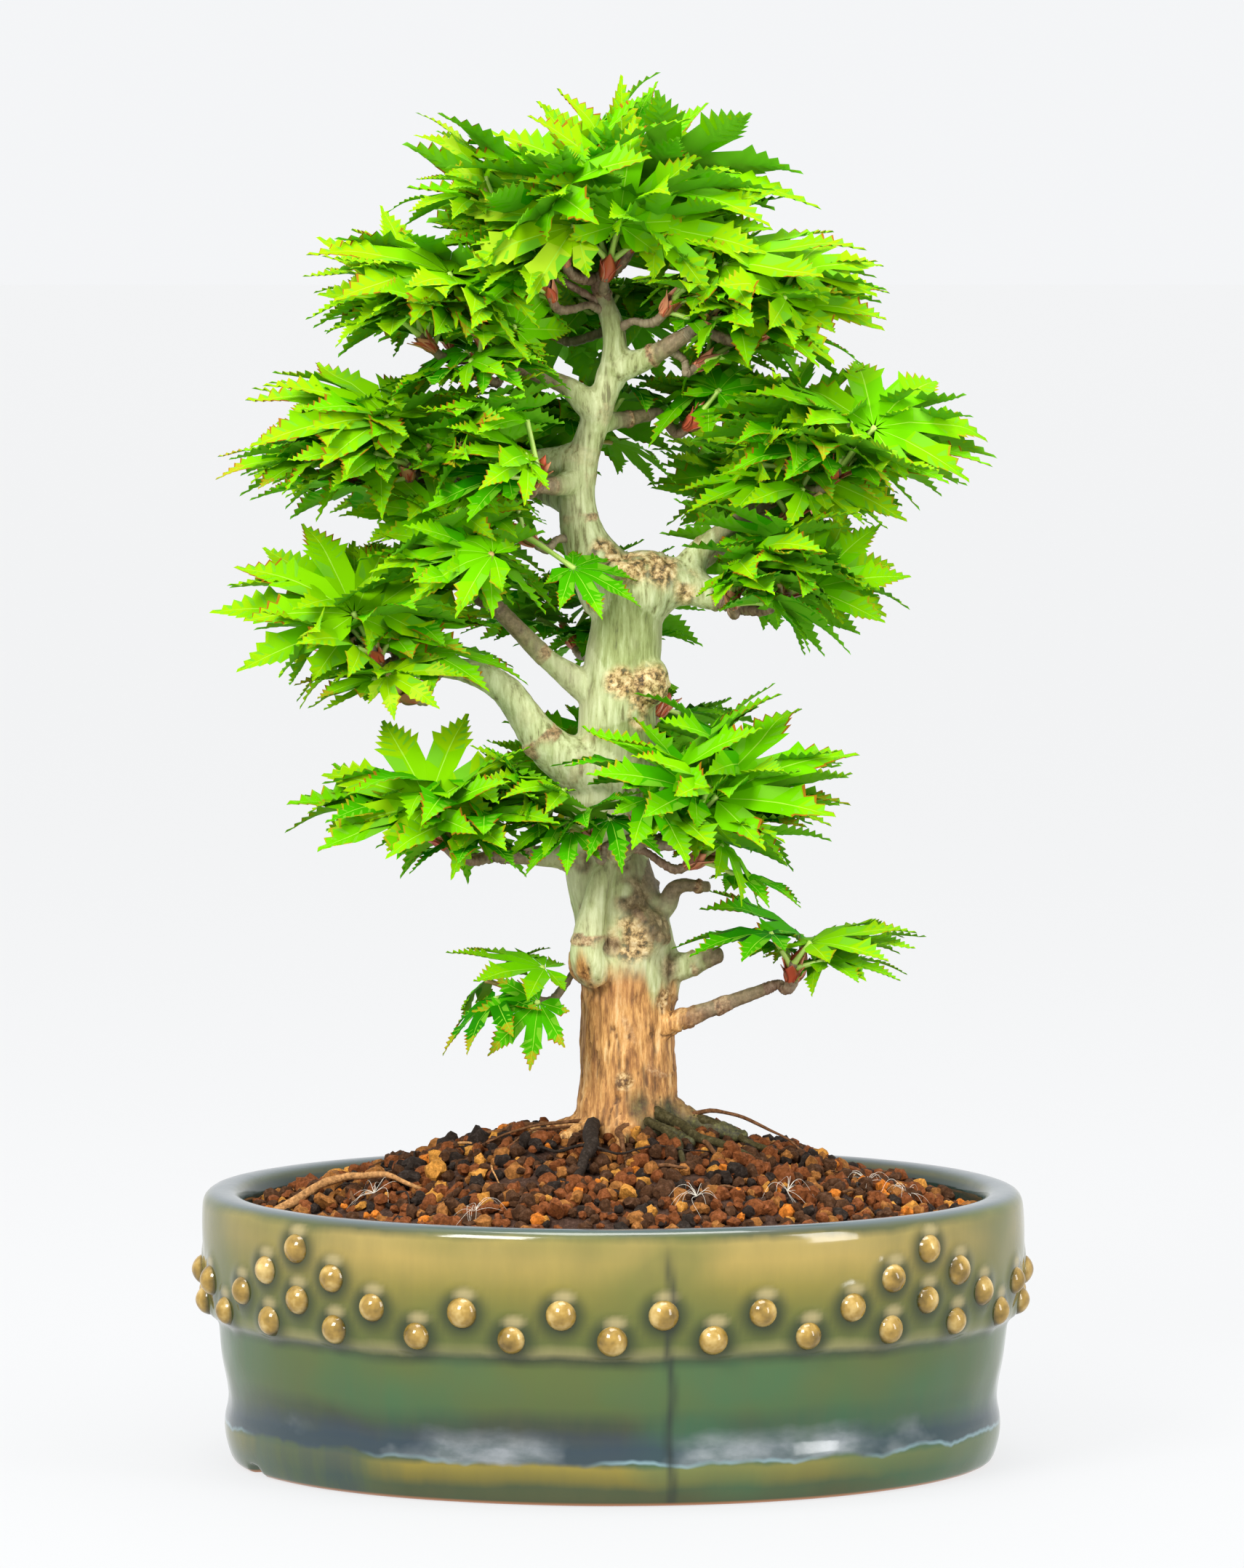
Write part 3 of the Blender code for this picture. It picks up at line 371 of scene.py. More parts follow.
def potFinish():
    # the glaze: bands of tone by height, their edges moved by noise, then clouds and greener ends, halos at the nails
    # and painted highlights above them, the milky band near the foot, the seam, the bare foot, the lip and the inside
    s = Shade("potGlaze", 0.12)
    parted = s.node("ShaderNodeSeparateXYZ", {"Vector": s.objectPoint()}).outputs
    x, z = parted["X"], parted["Z"]
    wave = s.noise(26, (1, 1, 1), 3)
    fine = s.noise(140, (1, 1, 0.25), 5, 0.6)
    streak = s.noise(90, (1, 1, 0.05), 4, 0.6)
    height = s.math("MULTIPLY", z, 1 / pot["glazeHeight"])
    wobble = s.waver(s.waver(height, wave, 0.050), streak, 0.030)
    bands = s.ramp(wobble, [
        (0.000, (0.056, 0.066, 0.022)), (0.060, (0.046, 0.062, 0.022)), (0.090, (0.135, 0.115, 0.018)),
        (0.135, (0.210, 0.165, 0.022)), (0.155, (0.052, 0.066, 0.026)), (0.240, (0.028, 0.036, 0.032)),
        (0.290, (0.032, 0.048, 0.022)), (0.345, (0.066, 0.098, 0.022)), (0.480, (0.078, 0.110, 0.022)),
        # at the step in the wall a dark line, then a pale line that is partly the glaze's tone and partly a painted
        # highlight
        (0.515, (0.034, 0.050, 0.014)), (0.542, (0.260, 0.240, 0.090)), (0.580, (0.085, 0.105, 0.018)),
        (0.680, (0.125, 0.128, 0.018)), (0.760, (0.210, 0.175, 0.028)), (0.860, (0.350, 0.255, 0.062)),
        (0.925, (0.330, 0.250, 0.070)), (0.955, (0.060, 0.066, 0.028)), (1.000, (0.045, 0.065, 0.065)),
    ])
    # towards the left end the low ochre band fades into a streaked blue green
    left = s.waver(x, streak, 0.02)
    blue = s.math("MULTIPLY", s.steps(left, -0.050, -0.066), s.steps(left, -0.101, -0.094))
    low = s.math("MULTIPLY", blue, s.steps(wobble, 0.175, 0.150))
    faded = s.mix(s.steps(streak, 0.4, 0.6), (0.030, 0.055, 0.050), (0.052, 0.084, 0.036))
    bands = s.mix(s.math("MULTIPLY", low, 0.85), bands, faded)
    # teal clouds, and greener ends of the oval, both of another tone above the step in the wall
    upper = s.steps(height, 0.50, 0.56)
    cloud = s.mix(upper, (0.028, 0.112, 0.046), (0.092, 0.118, 0.022))
    teal = s.mix(s.steps(s.noise(16, (1, 1, 1.6), 2), 0.48, 0.64, (0.0, 0.60)), bands, cloud)
    side = s.waver(s.math("ABSOLUTE", x), wave, 0.05)
    greener = s.mix(upper, (0.046, 0.088, 0.038), (0.088, 0.108, 0.034))
    teal = s.mix(s.steps(side, 0.066, 0.104, (0.0, 0.60)), teal, greener)
    cloudy = s.mix(s.steps(fine, 0.35, 0.75, (0.0, 0.22)), teal, (0.090, 0.082, 0.028))
    haloed = s.mix(s.attribute("halo"), cloudy, (0.016, 0.028, 0.008))
    # painted highlight: a cream dab on the wall just above each nail, where the swollen glaze would catch the light
    highlightedGlaze = s.mix(s.attribute("glow"), haloed, (0.480, 0.390, 0.180))
    # the milky band: it starts at a ragged edge with a pale blue line, and is lilac-grey and deep blue by turns
    ragged = s.waver(z, s.noise(55, (1, 1, 0.4), 3), 0.0075)
    veil = s.math("MULTIPLY", s.steps(ragged, 0.0106, 0.0118), s.steps(ragged, 0.0205, 0.0150))
    milk = s.steps(s.waver(s.attribute("milk"), s.noise(60, (1, 1, 1.5), 3), 1.1), 0.25, 0.75)
    smear = s.mix(s.steps(s.noise(95, (1, 1, 2.2), 4), 0.35, 0.65), (0.100, 0.125, 0.135), (0.240, 0.260, 0.280))
    band = s.mix(milk, (0.018, 0.036, 0.056), smear)
    milky = s.mix(s.math("MULTIPLY", veil, 0.80), highlightedGlaze, band)
    line = s.math("MULTIPLY", s.steps(ragged, 0.0106, 0.0112), s.steps(ragged, 0.0122, 0.0114))
    line = s.math("MULTIPLY", line, s.math("SUBTRACT", 1.0, blue))
    lined = s.mix(s.math("MULTIPLY", line, s.steps(wave, 0.46, 0.58, (0.0, 0.60))), milky, (0.240, 0.370, 0.410))
    drip = s.mix(s.attribute("seam"), lined, (0.010, 0.016, 0.013))
    foot = s.mix(s.steps(z, 0.0013, 0.0006), drip, (0.400, 0.150, 0.045))
    lip = s.mix(s.attribute("lip"), foot, (0.075, 0.100, 0.110))
    inside = s.mix(s.attribute("inside"), lip, (0.020, 0.042, 0.034))
    return s.finish(inside, s.steps(fine, 0.3, 0.8, (0.07, 0.18)), s.noise(60, (1, 1, 1), 3), 0.0006, 0.25)


def nailFinish():
    # amber glaze, deeper in places and dark where it meets the wall
    s = Shade("nailGlaze", 0.10)
    tone = s.ramp(s.noise(160, (1, 1, 1), 3), [
        (0.30, (0.130, 0.080, 0.012)), (0.50, (0.330, 0.205, 0.040)), (0.70, (0.620, 0.450, 0.170)),
    ])
    return s.finish(s.mix(s.attribute("rimOfNail"), tone, (0.032, 0.034, 0.010)))


def leastGap(points, spots, stretch=(1, 1, 1)):
    # how far each point is from the nearest of a few spots, after a stretch of its axes
    return np.min([np.linalg.norm((points - spot) * stretch, axis=1) for spot in spots], axis=0)


def makePot():
    line = potOutline()
    count, rows, peak = pot["around"], len(line), int(np.argmax(line[:, 1]))
    angle = np.linspace(0, 2 * np.pi, count, endpoint=False)
    row, radius, z = np.arange(rows)[:, None], line[:, :1], line[:, 1:]
    # hand-made wall: the radius wanders a little with angle and height
    spots = np.stack(np.broadcast_arrays(3 * np.sin(angle)[None], 3 * np.cos(angle)[None], z * 40), -1).reshape(-1, 3)
    wander = (softNoise(spots, 3) * 0.00035 + softNoise(spots * 3.1, 4) * 0.00012).reshape(rows, count)
    shell = ovalPoint(radius + wander * smoothStep(0.09, 0.100, radius), angle[None, :], z)
    # two shallow bites out of the foot for the water to run out: each falls off with the fourth power of the angle
    foot = smoothStep(0.085, 0.097, radius) * np.clip(1 - z / 0.0034, 0, 1)
    for notch in pot["notches"]:
        gap = np.angle(np.exp(1j * (angle - math.radians(notch))))[None, :]
        shell[..., 2] += pot["notchRise"] * np.exp(-((gap / pot["notchReach"]) ** 4)) * foot
    places = nailPlaces()
    nailAngle, nailHeight = places[:, 0] * 2 * np.pi / pot["nailSteps"], places[:, 1]
    outer = line[:peak][line[:peak, 0] > 0.09]
    nailAt = ovalPoint(np.interp(nailHeight, outer[:, 1], outer[:, 0]), nailAngle, nailHeight)
    flat = shell.reshape(-1, 3)
    near = leastGap(flat, nailAt).reshape(rows, count)
    # how far each point lies from the spot of the painted highlight above each nail
    above = leastGap(flat, nailAt + [0.0008, 0, 0.0047], (0.75, 0.75, 1.25)).reshape(rows, count)
    isOut = (row < peak + 4) & (radius > 0.09)
    # the glaze swells a little round each nail
    outward = unit(flat * [1, 1 / pot["depthShare"] ** 2, 0] + [1e-9, 0, 0])
    swell = pot["nailSwell"] * smoothStep(0.0085, 0.0048, near) * isOut
    flat = flat + outward * swell.reshape(-1, 1)
    # one slightly wavy seam down the front
    seamGap = np.abs(shell[..., 0] - pot["seamAt"] - 0.0006 * np.sin(z * 260))
    seam = np.exp(-((seamGap / pot["seamWide"]) ** 2)) * (shell[..., 1] < 0)
    seam = seam * smoothStep(0.072, 0.060, z) * 0.75 * isOut
    turns = [np.angle(np.exp(1j * (angle - math.radians(at)))) / math.radians(wide) for at, wide, _ in pot["milk"]]
    milk = np.clip(sum(share * np.exp(-(turn ** 2)) for turn, (_, _, share) in zip(turns, pot["milk"])), 0, 1)
    shares = {
        "halo": smoothStep(0.0086, 0.0036, near) * 0.88 * isOut,
        # glow is the painted highlight above each nail
        "glow": smoothStep(0.0031, 0.0008, above) * 0.58 * isOut,
        "milk": milk[None], "seam": seam, "lip": smoothStep(0.0715, 0.0729, z) * (row < peak + 14),
        "inside": (row > peak + 3) * smoothStep(0.0728, 0.0700, z),
    }
    # the two ends of the outline lie on the axis: each ring there is closed by one fan
    points = np.concatenate([flat[count:-count], [[0, 0, line[0, 1]], [0, 0, line[-1, 1]]]])
    faces = [
        gridFaces(rows - 2, count), fanFaces(count, 0, len(points) - 2, False),
        fanFaces(count, (rows - 3) * count, len(points) - 1),
    ]
    values = {
        key: np.concatenate([np.broadcast_to(share, (rows, count)).ravel()[count:-count], [0, 0]])
        for key, share in shares.items()
    }
    makePiece("potWall", points, faces, [potFinish()], ["pot"], values=values)
    makeNails(nailAt, nailAngle)


def makeNails(nailAt, nailAngle):
    # each nail is a flattened dome: rings of falling radius, its rim flared and sunk in the wall
    ringAngle = np.linspace(0, 2 * np.pi, pot["nailSides"], endpoint=False)
    radius, rise = np.array(pot["dome"]).T
    out = unit(np.stack([np.sin(nailAngle), -np.cos(nailAngle) / pot["depthShare"], 0 * nailAngle], -1))
    across = np.cross(out, [0, 0, 1.0])
    seed = np.random.default_rng(5)
    size = pot["nailRadius"] * seed.uniform(0.94, 1.06, len(nailAt))
    rings = (
        nailAt[:, None, None]
        + across[:, None, None] * (radius[None, :, None] * np.cos(ringAngle) * size[:, None, None])[..., None]
        + np.array([0, 0, 1.0]) * (radius[None, :, None] * np.sin(ringAngle) * size[:, None, None])[..., None]
        + out[:, None, None] * (rise[None, :, None] * pot["nailOut"] + 0 * ringAngle)[..., None]
    )
    tips = nailAt + out * pot["nailOut"]
    each = len(rise) * len(ringAngle) + 1
    points = np.concatenate([rings.reshape(len(nailAt), -1, 3), tips[:, None]], 1).reshape(-1, 3)
    quads = gridFaces(len(rise), len(ringAngle))
    fan = fanFaces(len(ringAngle), (len(rise) - 1) * len(ringAngle), each - 1)
    shift = (np.arange(len(nailAt)) * each)[:, None, None]
    rim = np.concatenate([np.repeat(np.clip(1.0 - (rise - 0.05) / 0.32, 0, 1), len(ringAngle)), [0]])
    makePiece(
        "potNails", points, [(quads + shift).reshape(-1, 4)[:, ::-1], (fan + shift).reshape(-1, 3)[:, ::-1]],
        [nailFinish()], values={"rimOfNail": np.tile(rim, len(nailAt)) * 0.85},
    )


makePot()

# the soil: a dark mound under loose grains
soil = {
    "grains": 2350, "grainSize": (0.0012, 0.0031), "goldenTurn": 2.399963, "spread": 0.0972, "ground": 0.0875,
    # the mound's slope as radius and height, and how many rings and steps round it has
    "slope": [(0.0, 0.0875), (0.027, 0.0875), (0.048, 0.0815), (0.078, 0.0725), (0.099, 0.0650)],
    "rings": 60, "around": 120,
    # how far the mound lies under the grains' level, and the radius and height of its foot
    "sunk": 0.0012, "foot": (0.0885, 0.012),
    "clodRings": (0.0880, 0.0780, 0.0680, 0.0580, 0.0480, 0.0380), "clodHeight": 0.0019, "clodSeed": 41,
    "tones": [
        ("grainRust", (0.150, 0.042, 0.008), 0.33), ("grainBrown", (0.055, 0.021, 0.006), 0.27),
        ("grainTan", (0.240, 0.092, 0.018), 0.15), ("grainDark", (0.017, 0.010, 0.006), 0.15),
        ("grainOchre", (0.440, 0.190, 0.028), 0.06), ("grainOrange", (0.480, 0.140, 0.012), 0.04),
    ],
}


def clodTable():
    # how far each ring of the mound is raised at each step round it, by the same seeded rule as the solid's
    draw, count, reach = random.Random(soil["clodSeed"]), pot["nailSteps"] // 2, soil["clodHeight"]
    marks = np.array([[draw.uniform(-reach, reach) for _ in range(count)] for _ in soil["clodRings"]])
    both = np.stack([marks, (marks + np.roll(marks, -1, 1)) / 2], -1).reshape(len(marks), -1)
    return np.concatenate([0 * both[:1], both, 0 * both[:1]])


def soilHeight(x, y):
    # height over the oval's own radius, joined straight between the mound's rings, with clods and soft lumps
    r = np.sqrt(x ** 2 + (y / pot["depthShare"]) ** 2)
    table, steps = clodTable(), pot["nailSteps"]
    rings = np.array([0.098, *soil["clodRings"], 0.027])[::-1]
    level = np.clip(len(rings) - 1 - np.interp(r, rings, np.arange(len(rings))), 0, len(rings) - 1.001)
    turn = (np.arctan2(x, -y / pot["depthShare"]) / (2 * np.pi) * steps - 0.5) % steps
    i, j = level.astype(int), turn.astype(int)
    u, v = level - i, turn - j
    here = table[i, j % steps] * (1 - v) + table[i, (j + 1) % steps] * v
    clods = here * (1 - u) + (table[i + 1, j % steps] * (1 - v) + table[i + 1, (j + 1) % steps] * v) * u
    z = np.interp(r, *np.array(soil["slope"]).T)
    spots = np.stack([x, y, 0 * x], -1).reshape(-1, 3)
    lumps = softNoise(spots * 90, 9) * 0.0006 + softNoise(spots * 170, 10) * 0.0006
    return z + clods + lumps.reshape(np.shape(x)) * smoothStep(0.012, 0.030, r)


def grainFinish(name, tone):
    # crumbly earth: one tone broken up by a fine noise into darker and lighter specks
    s = Shade(name, 0.90)
    s.shader.inputs["Specular IOR Level"].default_value = 0.20
    dust = s.noise(900, (1, 1, 1), 4, 0.7)
    lighter = tuple(min(1.0, 1.55 * part + 0.02) for part in tone)
    darker = tuple(0.45 * part for part in tone)
    colour = s.ramp(dust, [(0.32, darker), (0.52, tone), (0.72, lighter)])
    return s.finish(colour, None, s.noise(1500, (1, 1, 1), 3), 0.0003, 0.8)


def makeSoil():
    # mound: rings of the oval at the mound's height, closed by a fan in the middle
    rings, around = np.linspace(0.0990, 0.002, soil["rings"]), soil["around"]
    angle = np.linspace(0, 2 * np.pi, around, endpoint=False)
    flat = ovalPoint(rings[:, None], angle[None], 0 * rings[:, None])
    flat[..., 2] = soilHeight(flat[..., 0], flat[..., 1]) - soil["sunk"]
    footRadius, footHeight = soil["foot"]
    foot = ovalPoint(np.full((1, 1), footRadius), angle[None], np.full((1, 1), footHeight))
    middle = [[0, 0, soil["ground"] - soil["sunk"]], [0, 0, footHeight]]
    points = np.concatenate([foot.reshape(-1, 3), flat.reshape(-1, 3), middle])
    faces = [
        gridFaces(len(rings) + 1, around), fanFaces(around, len(rings) * around, len(points) - 2),
        fanFaces(around, 0, len(points) - 1, False),
    ]
    makePiece("soilMound", points, faces, [grainFinish("soilBed", (0.050, 0.024, 0.014))], ["soil"])
    # grains: one lumpy ball, stretched, bumped and turned anew for each, laid on the mound from the middle out
    seed = np.random.default_rng(21)
    count = soil["grains"]
    ball, faces = ballTemplate(2)
    turnAngle = np.arange(count) * soil["goldenTurn"]
    r = soil["spread"] * np.sqrt((np.arange(count) + 0.5) / count)
    spot = ovalPoint(r, turnAngle, 0 * r)
    spot[:, :2] += seed.normal(0, 0.0010, (count, 2))
    size = seed.uniform(*soil["grainSize"], count) * np.where(seed.random(count) < 0.12, 1.35, 1.0)
    spot[:, 2] = soilHeight(spot[:, 0], spot[:, 1]) + size * seed.uniform(-0.60, 0.40, count)
    stretch = seed.uniform(0.55, 1.0, (count, 3)) * size[:, None]
    bumps = 1 + seed.uniform(-0.27, 0.20, (count, len(ball)))
    quaternion = unit(seed.normal(size=(count, 4)))
    w, x, y, z = quaternion.T
    spin = np.stack([
        1 - 2 * (y * y + z * z), 2 * (x * y - z * w), 2 * (x * z + y * w),
        2 * (x * y + z * w), 1 - 2 * (x * x + z * z), 2 * (y * z - x * w),
        2 * (x * z - y * w), 2 * (y * z + x * w), 1 - 2 * (x * x + y * y),
    ], -1).reshape(-1, 3, 3)
    shaped = ball[None] * bumps[..., None] * stretch[:, None]
    placed = np.einsum("nij,nkj->nki", spin, shaped) + spot[:, None]
    tones = seed.choice(len(soil["tones"]), count, p=[share for _, _, share in soil["tones"]])
    finishes = [grainFinish(name, tone) for name, tone, _ in soil["tones"]]
    allFaces = (faces[None] + (np.arange(count) * len(ball))[:, None, None]).reshape(-1, 3)
    makePiece(
        "soilGrains", placed.reshape(-1, 3), [allFaces], finishes,
        faceMaterial=np.repeat(tones, len(faces)), sharp=36,
    )


makeSoil()

# roots, wires and hairs that lie on the soil: where each starts and ends, the height it starts above the soil, how far
# it arches and bows sideways, and its radius, all in mm, and its tone
strands = {
    "tones": [
        ("rootTan", (0.400, 0.200, 0.070)), ("rootBrown", (0.130, 0.056, 0.020)), ("rootDark", (0.022, 0.014, 0.009)),
        ("rootMoss", (0.050, 0.040, 0.012)), ("rootHair", (0.680, 0.630, 0.530)),
    ],
    "laid": [
        ((-93, -20), (-50, -32), 0.5, 4.5, 2.5, 1.45, 0), ((-6, -12), (-11, -48), 3.0, 0.8, 2.0, 2.5, 2),
        ((-6, -5), (-38, -12), 4.0, 2.0, 3.0, 0.60, 1), ((-6, -7), (-31, -27), 2.5, 1.8, -3.0, 0.50, 1),
        ((17, -4), (54, -8), 4.5, 5.0, 2.5, 0.65, 1), ((-22, -22), (27, -25), 0.4, 3.0, -9.0, 0.50, 2),
        ((9, -6), (37, -24), 8.0, 0.0, -3.0, 2.0, 3), ((7, -8), (19, -37), 5.5, 0.0, 2.5, 1.7, 3),
        ((9, -7), (29, -33), 6.0, 0.4, 3.5, 1.1, 1), ((9, -2), (44, -10), 7.5, 0.3, 2.0, 1.9, 3),
        ((4, -10), (4, -36), 4.0, 0.6, -2.5, 1.1, 1), ((-7, 5), (-40, 12), 2.0, 0.6, 4.0, 0.9, 1),
        ((12, 10), (40, 34), 3.0, 2.0, 5.0, 1.3, 1), ((-4, 13), (-14, 46), 2.5, 1.5, 4.0, 1.5, 2),
    ],
    "litter": 34, "tufts": [(-63, -30), (22, -56), (68, -8), (78, -18), (46, -44), (-36, -58), (30, 52)],
}


def makeStrands():
    # a strand runs straight over the soil but for one bow and one arch, which rise and fall as a half sine, and tapers
    seed = np.random.default_rng(33)
    rows = list(strands["laid"])
    for _ in range(strands["litter"]):
        angle, r = seed.uniform(0, 2 * np.pi), seed.uniform(32, 88)
        way, length = seed.uniform(0, 2 * np.pi), seed.uniform(6, 15)
        start = np.array([r * math.sin(angle), -r * pot["depthShare"] * math.cos(angle)])
        end = start + length * np.array([math.cos(way), math.sin(way)])
        end = end * min(1.0, 90 / np.hypot(end[0], end[1] / pot["depthShare"]))
        arch, bow, radius = seed.uniform(0.5, 2.0), seed.uniform(-2, 2), seed.uniform(0.25, 0.6)
        rows.append((start, end, 0.9, arch, bow, radius, seed.choice(3)))
    for spot in strands["tufts"]:
        for way in seed.uniform(0, 2 * np.pi, 12):
            end = np.array(spot) + seed.uniform(4, 9) * np.array([math.cos(way), math.sin(way)])
            rows.append((spot, end, 1.2, seed.uniform(1.0, 3.4), seed.uniform(-2, 2), 0.060, 4))
    t = np.linspace(0, 1, 22)
    parts, tones = [], []
    for start, end, lift, arch, bow, radius, tone in rows:
        start, end = np.array(start, float), np.array(end, float)
        across = np.array([-(end - start)[1], (end - start)[0]]) / np.linalg.norm(end - start)
        flat = start + (end - start) * t[:, None] + across * (bow * np.sin(np.pi * t))[:, None]
        flat += softNoise(np.column_stack([flat / 6, 0 * t + radius]), 31)[:, None] * across * min(1.5, radius * 1.2)
        z = soilHeight(flat[:, 0] * mm, flat[:, 1] * mm) / mm
        z = z + lift * (1 - t) ** 1.7 + arch * np.sin(np.pi * t) + radius * 0.3
        girth = radius * (1 - 0.62 * t) * (1 + 0.16 * softNoise(np.column_stack([flat / 3, t * 5]), 32))
        parts.append(tubeArrays(np.column_stack([flat, z, girth]) * mm, 8 if radius > 0.2 else 5))
        tones.append(tone)
    points, quads, tris = joined(parts)
    finishes = [grainFinish(*row) for row in strands["tones"][:4]] + [plainFinish(*strands["tones"][4], 0.6)]
    makePiece("soilStrands", points, [quads, tris], finishes, faceMaterial=partTones(tones, parts))


# the wood: trunk, scars, roots and limbs, worked out by the same rule as the solids
wood = {
    "foot": (3.9, 85.0, 13.2), "top": (4.4, 240.2, 9.3),
    "bows": [(-6.4, 166.2, 19.0), (-2.8, 202.2, 17.0)], "bulges": [(2.2, 85.0, 9.0), (1.3, 138.2, 10.0)],
    "lumps": [
        ((9.0, -4.0, 208.7), (6.2, 6.8, 7.2)), ((8.5, -1.0, 237.7), (8.2, 7.2, 6.0)),
        ((7.0, -6.0, 141.7), (8.5, 8.5, 9.0)), ((-5.0, -7.0, 134.7), (7.0, 6.8, 7.5)),
        ((12.5, 0.0, 130.2), (6.0, 6.2, 12.0)), ((11.0, -3.0, 115.2), (4.6, 5.0, 5.0)),
    ],
    "roots": [
        (-8, 29.0, 14.0, 5.6), (-48, 23.5, 11.0, 4.6), (-95, 21.5, 8.0, 4.2), (-140, 24.0, 9.0, 4.2),
        (178, 25.0, 8.0, 4.6), (125, 24.0, 10.0, 4.8), (72, 26.0, 12.0, 5.0), (30, 24.0, 10.0, 4.6),
    ],
    "voxel": 0.00068, "collar": 0.55, "sproutHeight": 0.1285, "sproutWay": (-0.95, -0.20, 0.25),
    # how far each kind of bark relief stands out or lies in, in mm
    "relief": {
        "crack": -0.55, "flake": 0.34, "grit": 0.30, "stripe": 0.10, "trunkLump": 0.35, "limbLump": 0.30, "ring": 0.34,
        "ringKnob": 0.5, "scarKnob": 1.4, "burlKnob": 1.3, "burlLump": 0.7,
    },
    # dark burls round the old cuts low on the trunk: middle and reach in mm
    "burls": [
        ((6, -11, 152), 7.5), ((10, -9, 144), 7.5), ((13, -5, 133), 6.0), ((-1, -12, 139), 4.0), ((-7, -8, 161), 4.5),
        ((-6, -9, 132), 4.5), ((4, -12, 161), 4.0), ((12, 4, 150), 7.0), ((-2, 12, 142), 7.0),
    ],
    # callus scars: middle and reach in mm
    "scars": [
        ((10, -8, 207), 8.5), ((2, -10, 209), 5.5), ((8, -9, 200), 5.0), ((-2, -5, 243), 5.5), ((5, -7, 240), 7.0),
        ((12, -4, 238), 7.5), ((19, -3, 234), 6.0), ((5, -12, 141), 8.0), ((-4, -11, 133), 5.0), ((3, -13, 103), 3.2),
        ((13, -6, 124), 5.0), ((-7, -9, 147), 4.5),
    ],
}

# each limb: its carrier, first and last radius, and the bends it goes through, in mm
limbs = {
    "sproutStub": ("trunk", 3.6, 2.8, [
        (-3.5, -9, 131.2), (-6.8, -12.8, 138.2), (-3.2, -12.4, 156.7), (0.6, -9.6, 161.7),
    ]),
    "leader": ("trunk", 6.2, 2.5, [
        (1, 1, 231.2), (-7.6, 0, 247.2), (-8.8, -0.6, 264.2), (0.5, -1.2, 295.2), (-3, 0, 312.2),
    ]),
    "bough_upper_left": ("leader", 2.8, 2.2, [(-3.5, -1.5, 280.2), (-14, -3, 288.2), (-30, -4, 294.2)]),
    "bough_upper_right": ("leader", 3.0, 2.1, [(0.2, -1, 292.2), (9, -3.5, 294.7), (20, -6, 301.2)]),
    "bough_right_inner": ("leader", 2.2, 1.8, [(-4.5, -0.5, 277.7), (3, 6, 278.2), (9.5, 10.5, 279.2)]),
    "bough_left_inner": ("leader", 2.6, 2.1, [(-8.6, -0.5, 263.2), (-14.5, -7, 261.2), (-20, -11.5, 261.2)]),
    "bough_left_mid": ("leader", 3.6, 2.3, [(-8, 0, 267.2), (-30, 3, 266.2), (-50, -3, 263.7)]),
    "bough_left_low_inner": ("trunk", 3.4, 2.2, [(0, -1, 202.2), (-16.5, -4.5, 214.2), (-30, -8.5, 228.2)]),
    "bough_left_low": ("trunk", 7.0, 2.4, [(2, -1, 182.2), (-16, -4.5, 190.7), (-31, -6.5, 208.7), (-52, -7, 214.2)]),
    "bough_right": ("trunk", 7.0, 3.2, [(6, 0, 232.2), (17, -0.5, 234.7), (29, -3, 230.7)]),
    "bough_right_rise": ("bough_right", 3.4, 2.3, [(19, -0.5, 234.2), (24, 2, 244.2), (43, -3, 258.2)]),
    "bough_right_back": ("bough_right", 3.4, 2.2, [(12, 0, 233.7), (19, 12, 237.2), (38, 27, 248.2)]),
    "bough_back_left": ("leader", 3.2, 2.2, [(-8.6, -0.5, 256.2), (-17, 11, 257.7), (-29, 26, 260.2)]),
    "bough_back_top": ("leader", 2.8, 2.0, [(-0.6, -1.2, 289.2), (0.6, 10, 293.2), (1.5, 24, 301.2)]),
    "bough_back_mid": ("trunk", 3.6, 2.3, [(0.5, 0, 202.2), (-1, 14, 206.2), (-3, 26, 213.2)]),
    "bough_back_low": ("trunk", 3.6, 2.3, [(-1, 1, 168.2), (3, 14, 170.2), (6, 25, 175.2)]),
    "bough_front_low": ("trunk", 3.4, 2.3, [(-1.5, -2, 163.2), (1, -13, 164.7), (5, -20, 167.2)]),
    "bough_left_bottom": ("trunk", 3.0, 2.2, [(-3, -1, 160.2), (-15, -5, 162.2), (-29, -9, 162.7)]),
    "bough_right_low": ("trunk", 2.6, 1.8, [(8, -3, 113.7), (19, -7.5, 119.0), (41, -8, 127.2)]),
    "spur_right_up": ("trunk", 2.6, 1.5, [(6, -1, 141.2), (14, -4.5, 148.7), (17.2, -5.6, 154.2), (26, -6, 154.2)]),
    "spur_right": ("trunk", 3.4, 1.9, [(11, -1, 132.2), (18.5, -3, 132.7), (29, -4.5, 136.2)]),
}


def smoothLine(limb, steps=6):
    # a curve through the bends, each span a cubic whose slopes come from the bends on either side
    first, last, bends = limb[1], limb[2], np.array(limb[3], float)
    through = np.concatenate([[2 * bends[0] - bends[1]], bends, [2 * bends[-1] - bends[-2]]])
    spans = len(bends) - 1
    at = np.arange(spans * steps + 1) / steps
    span = np.minimum(at.astype(int), spans - 1)
    t = (at - span)[:, None]
    before, start, end, after = (through[span + k] for k in range(4))
    spot = start + (end - before) * t / 2
    spot = spot + (2 * before - 5 * start + 4 * end - after) * t ** 2 / 2
    spot = spot + (3 * start - before - 3 * end + after) * t ** 3 / 2
    return np.column_stack([spot, first + (last - first) * at / spans]) * mm


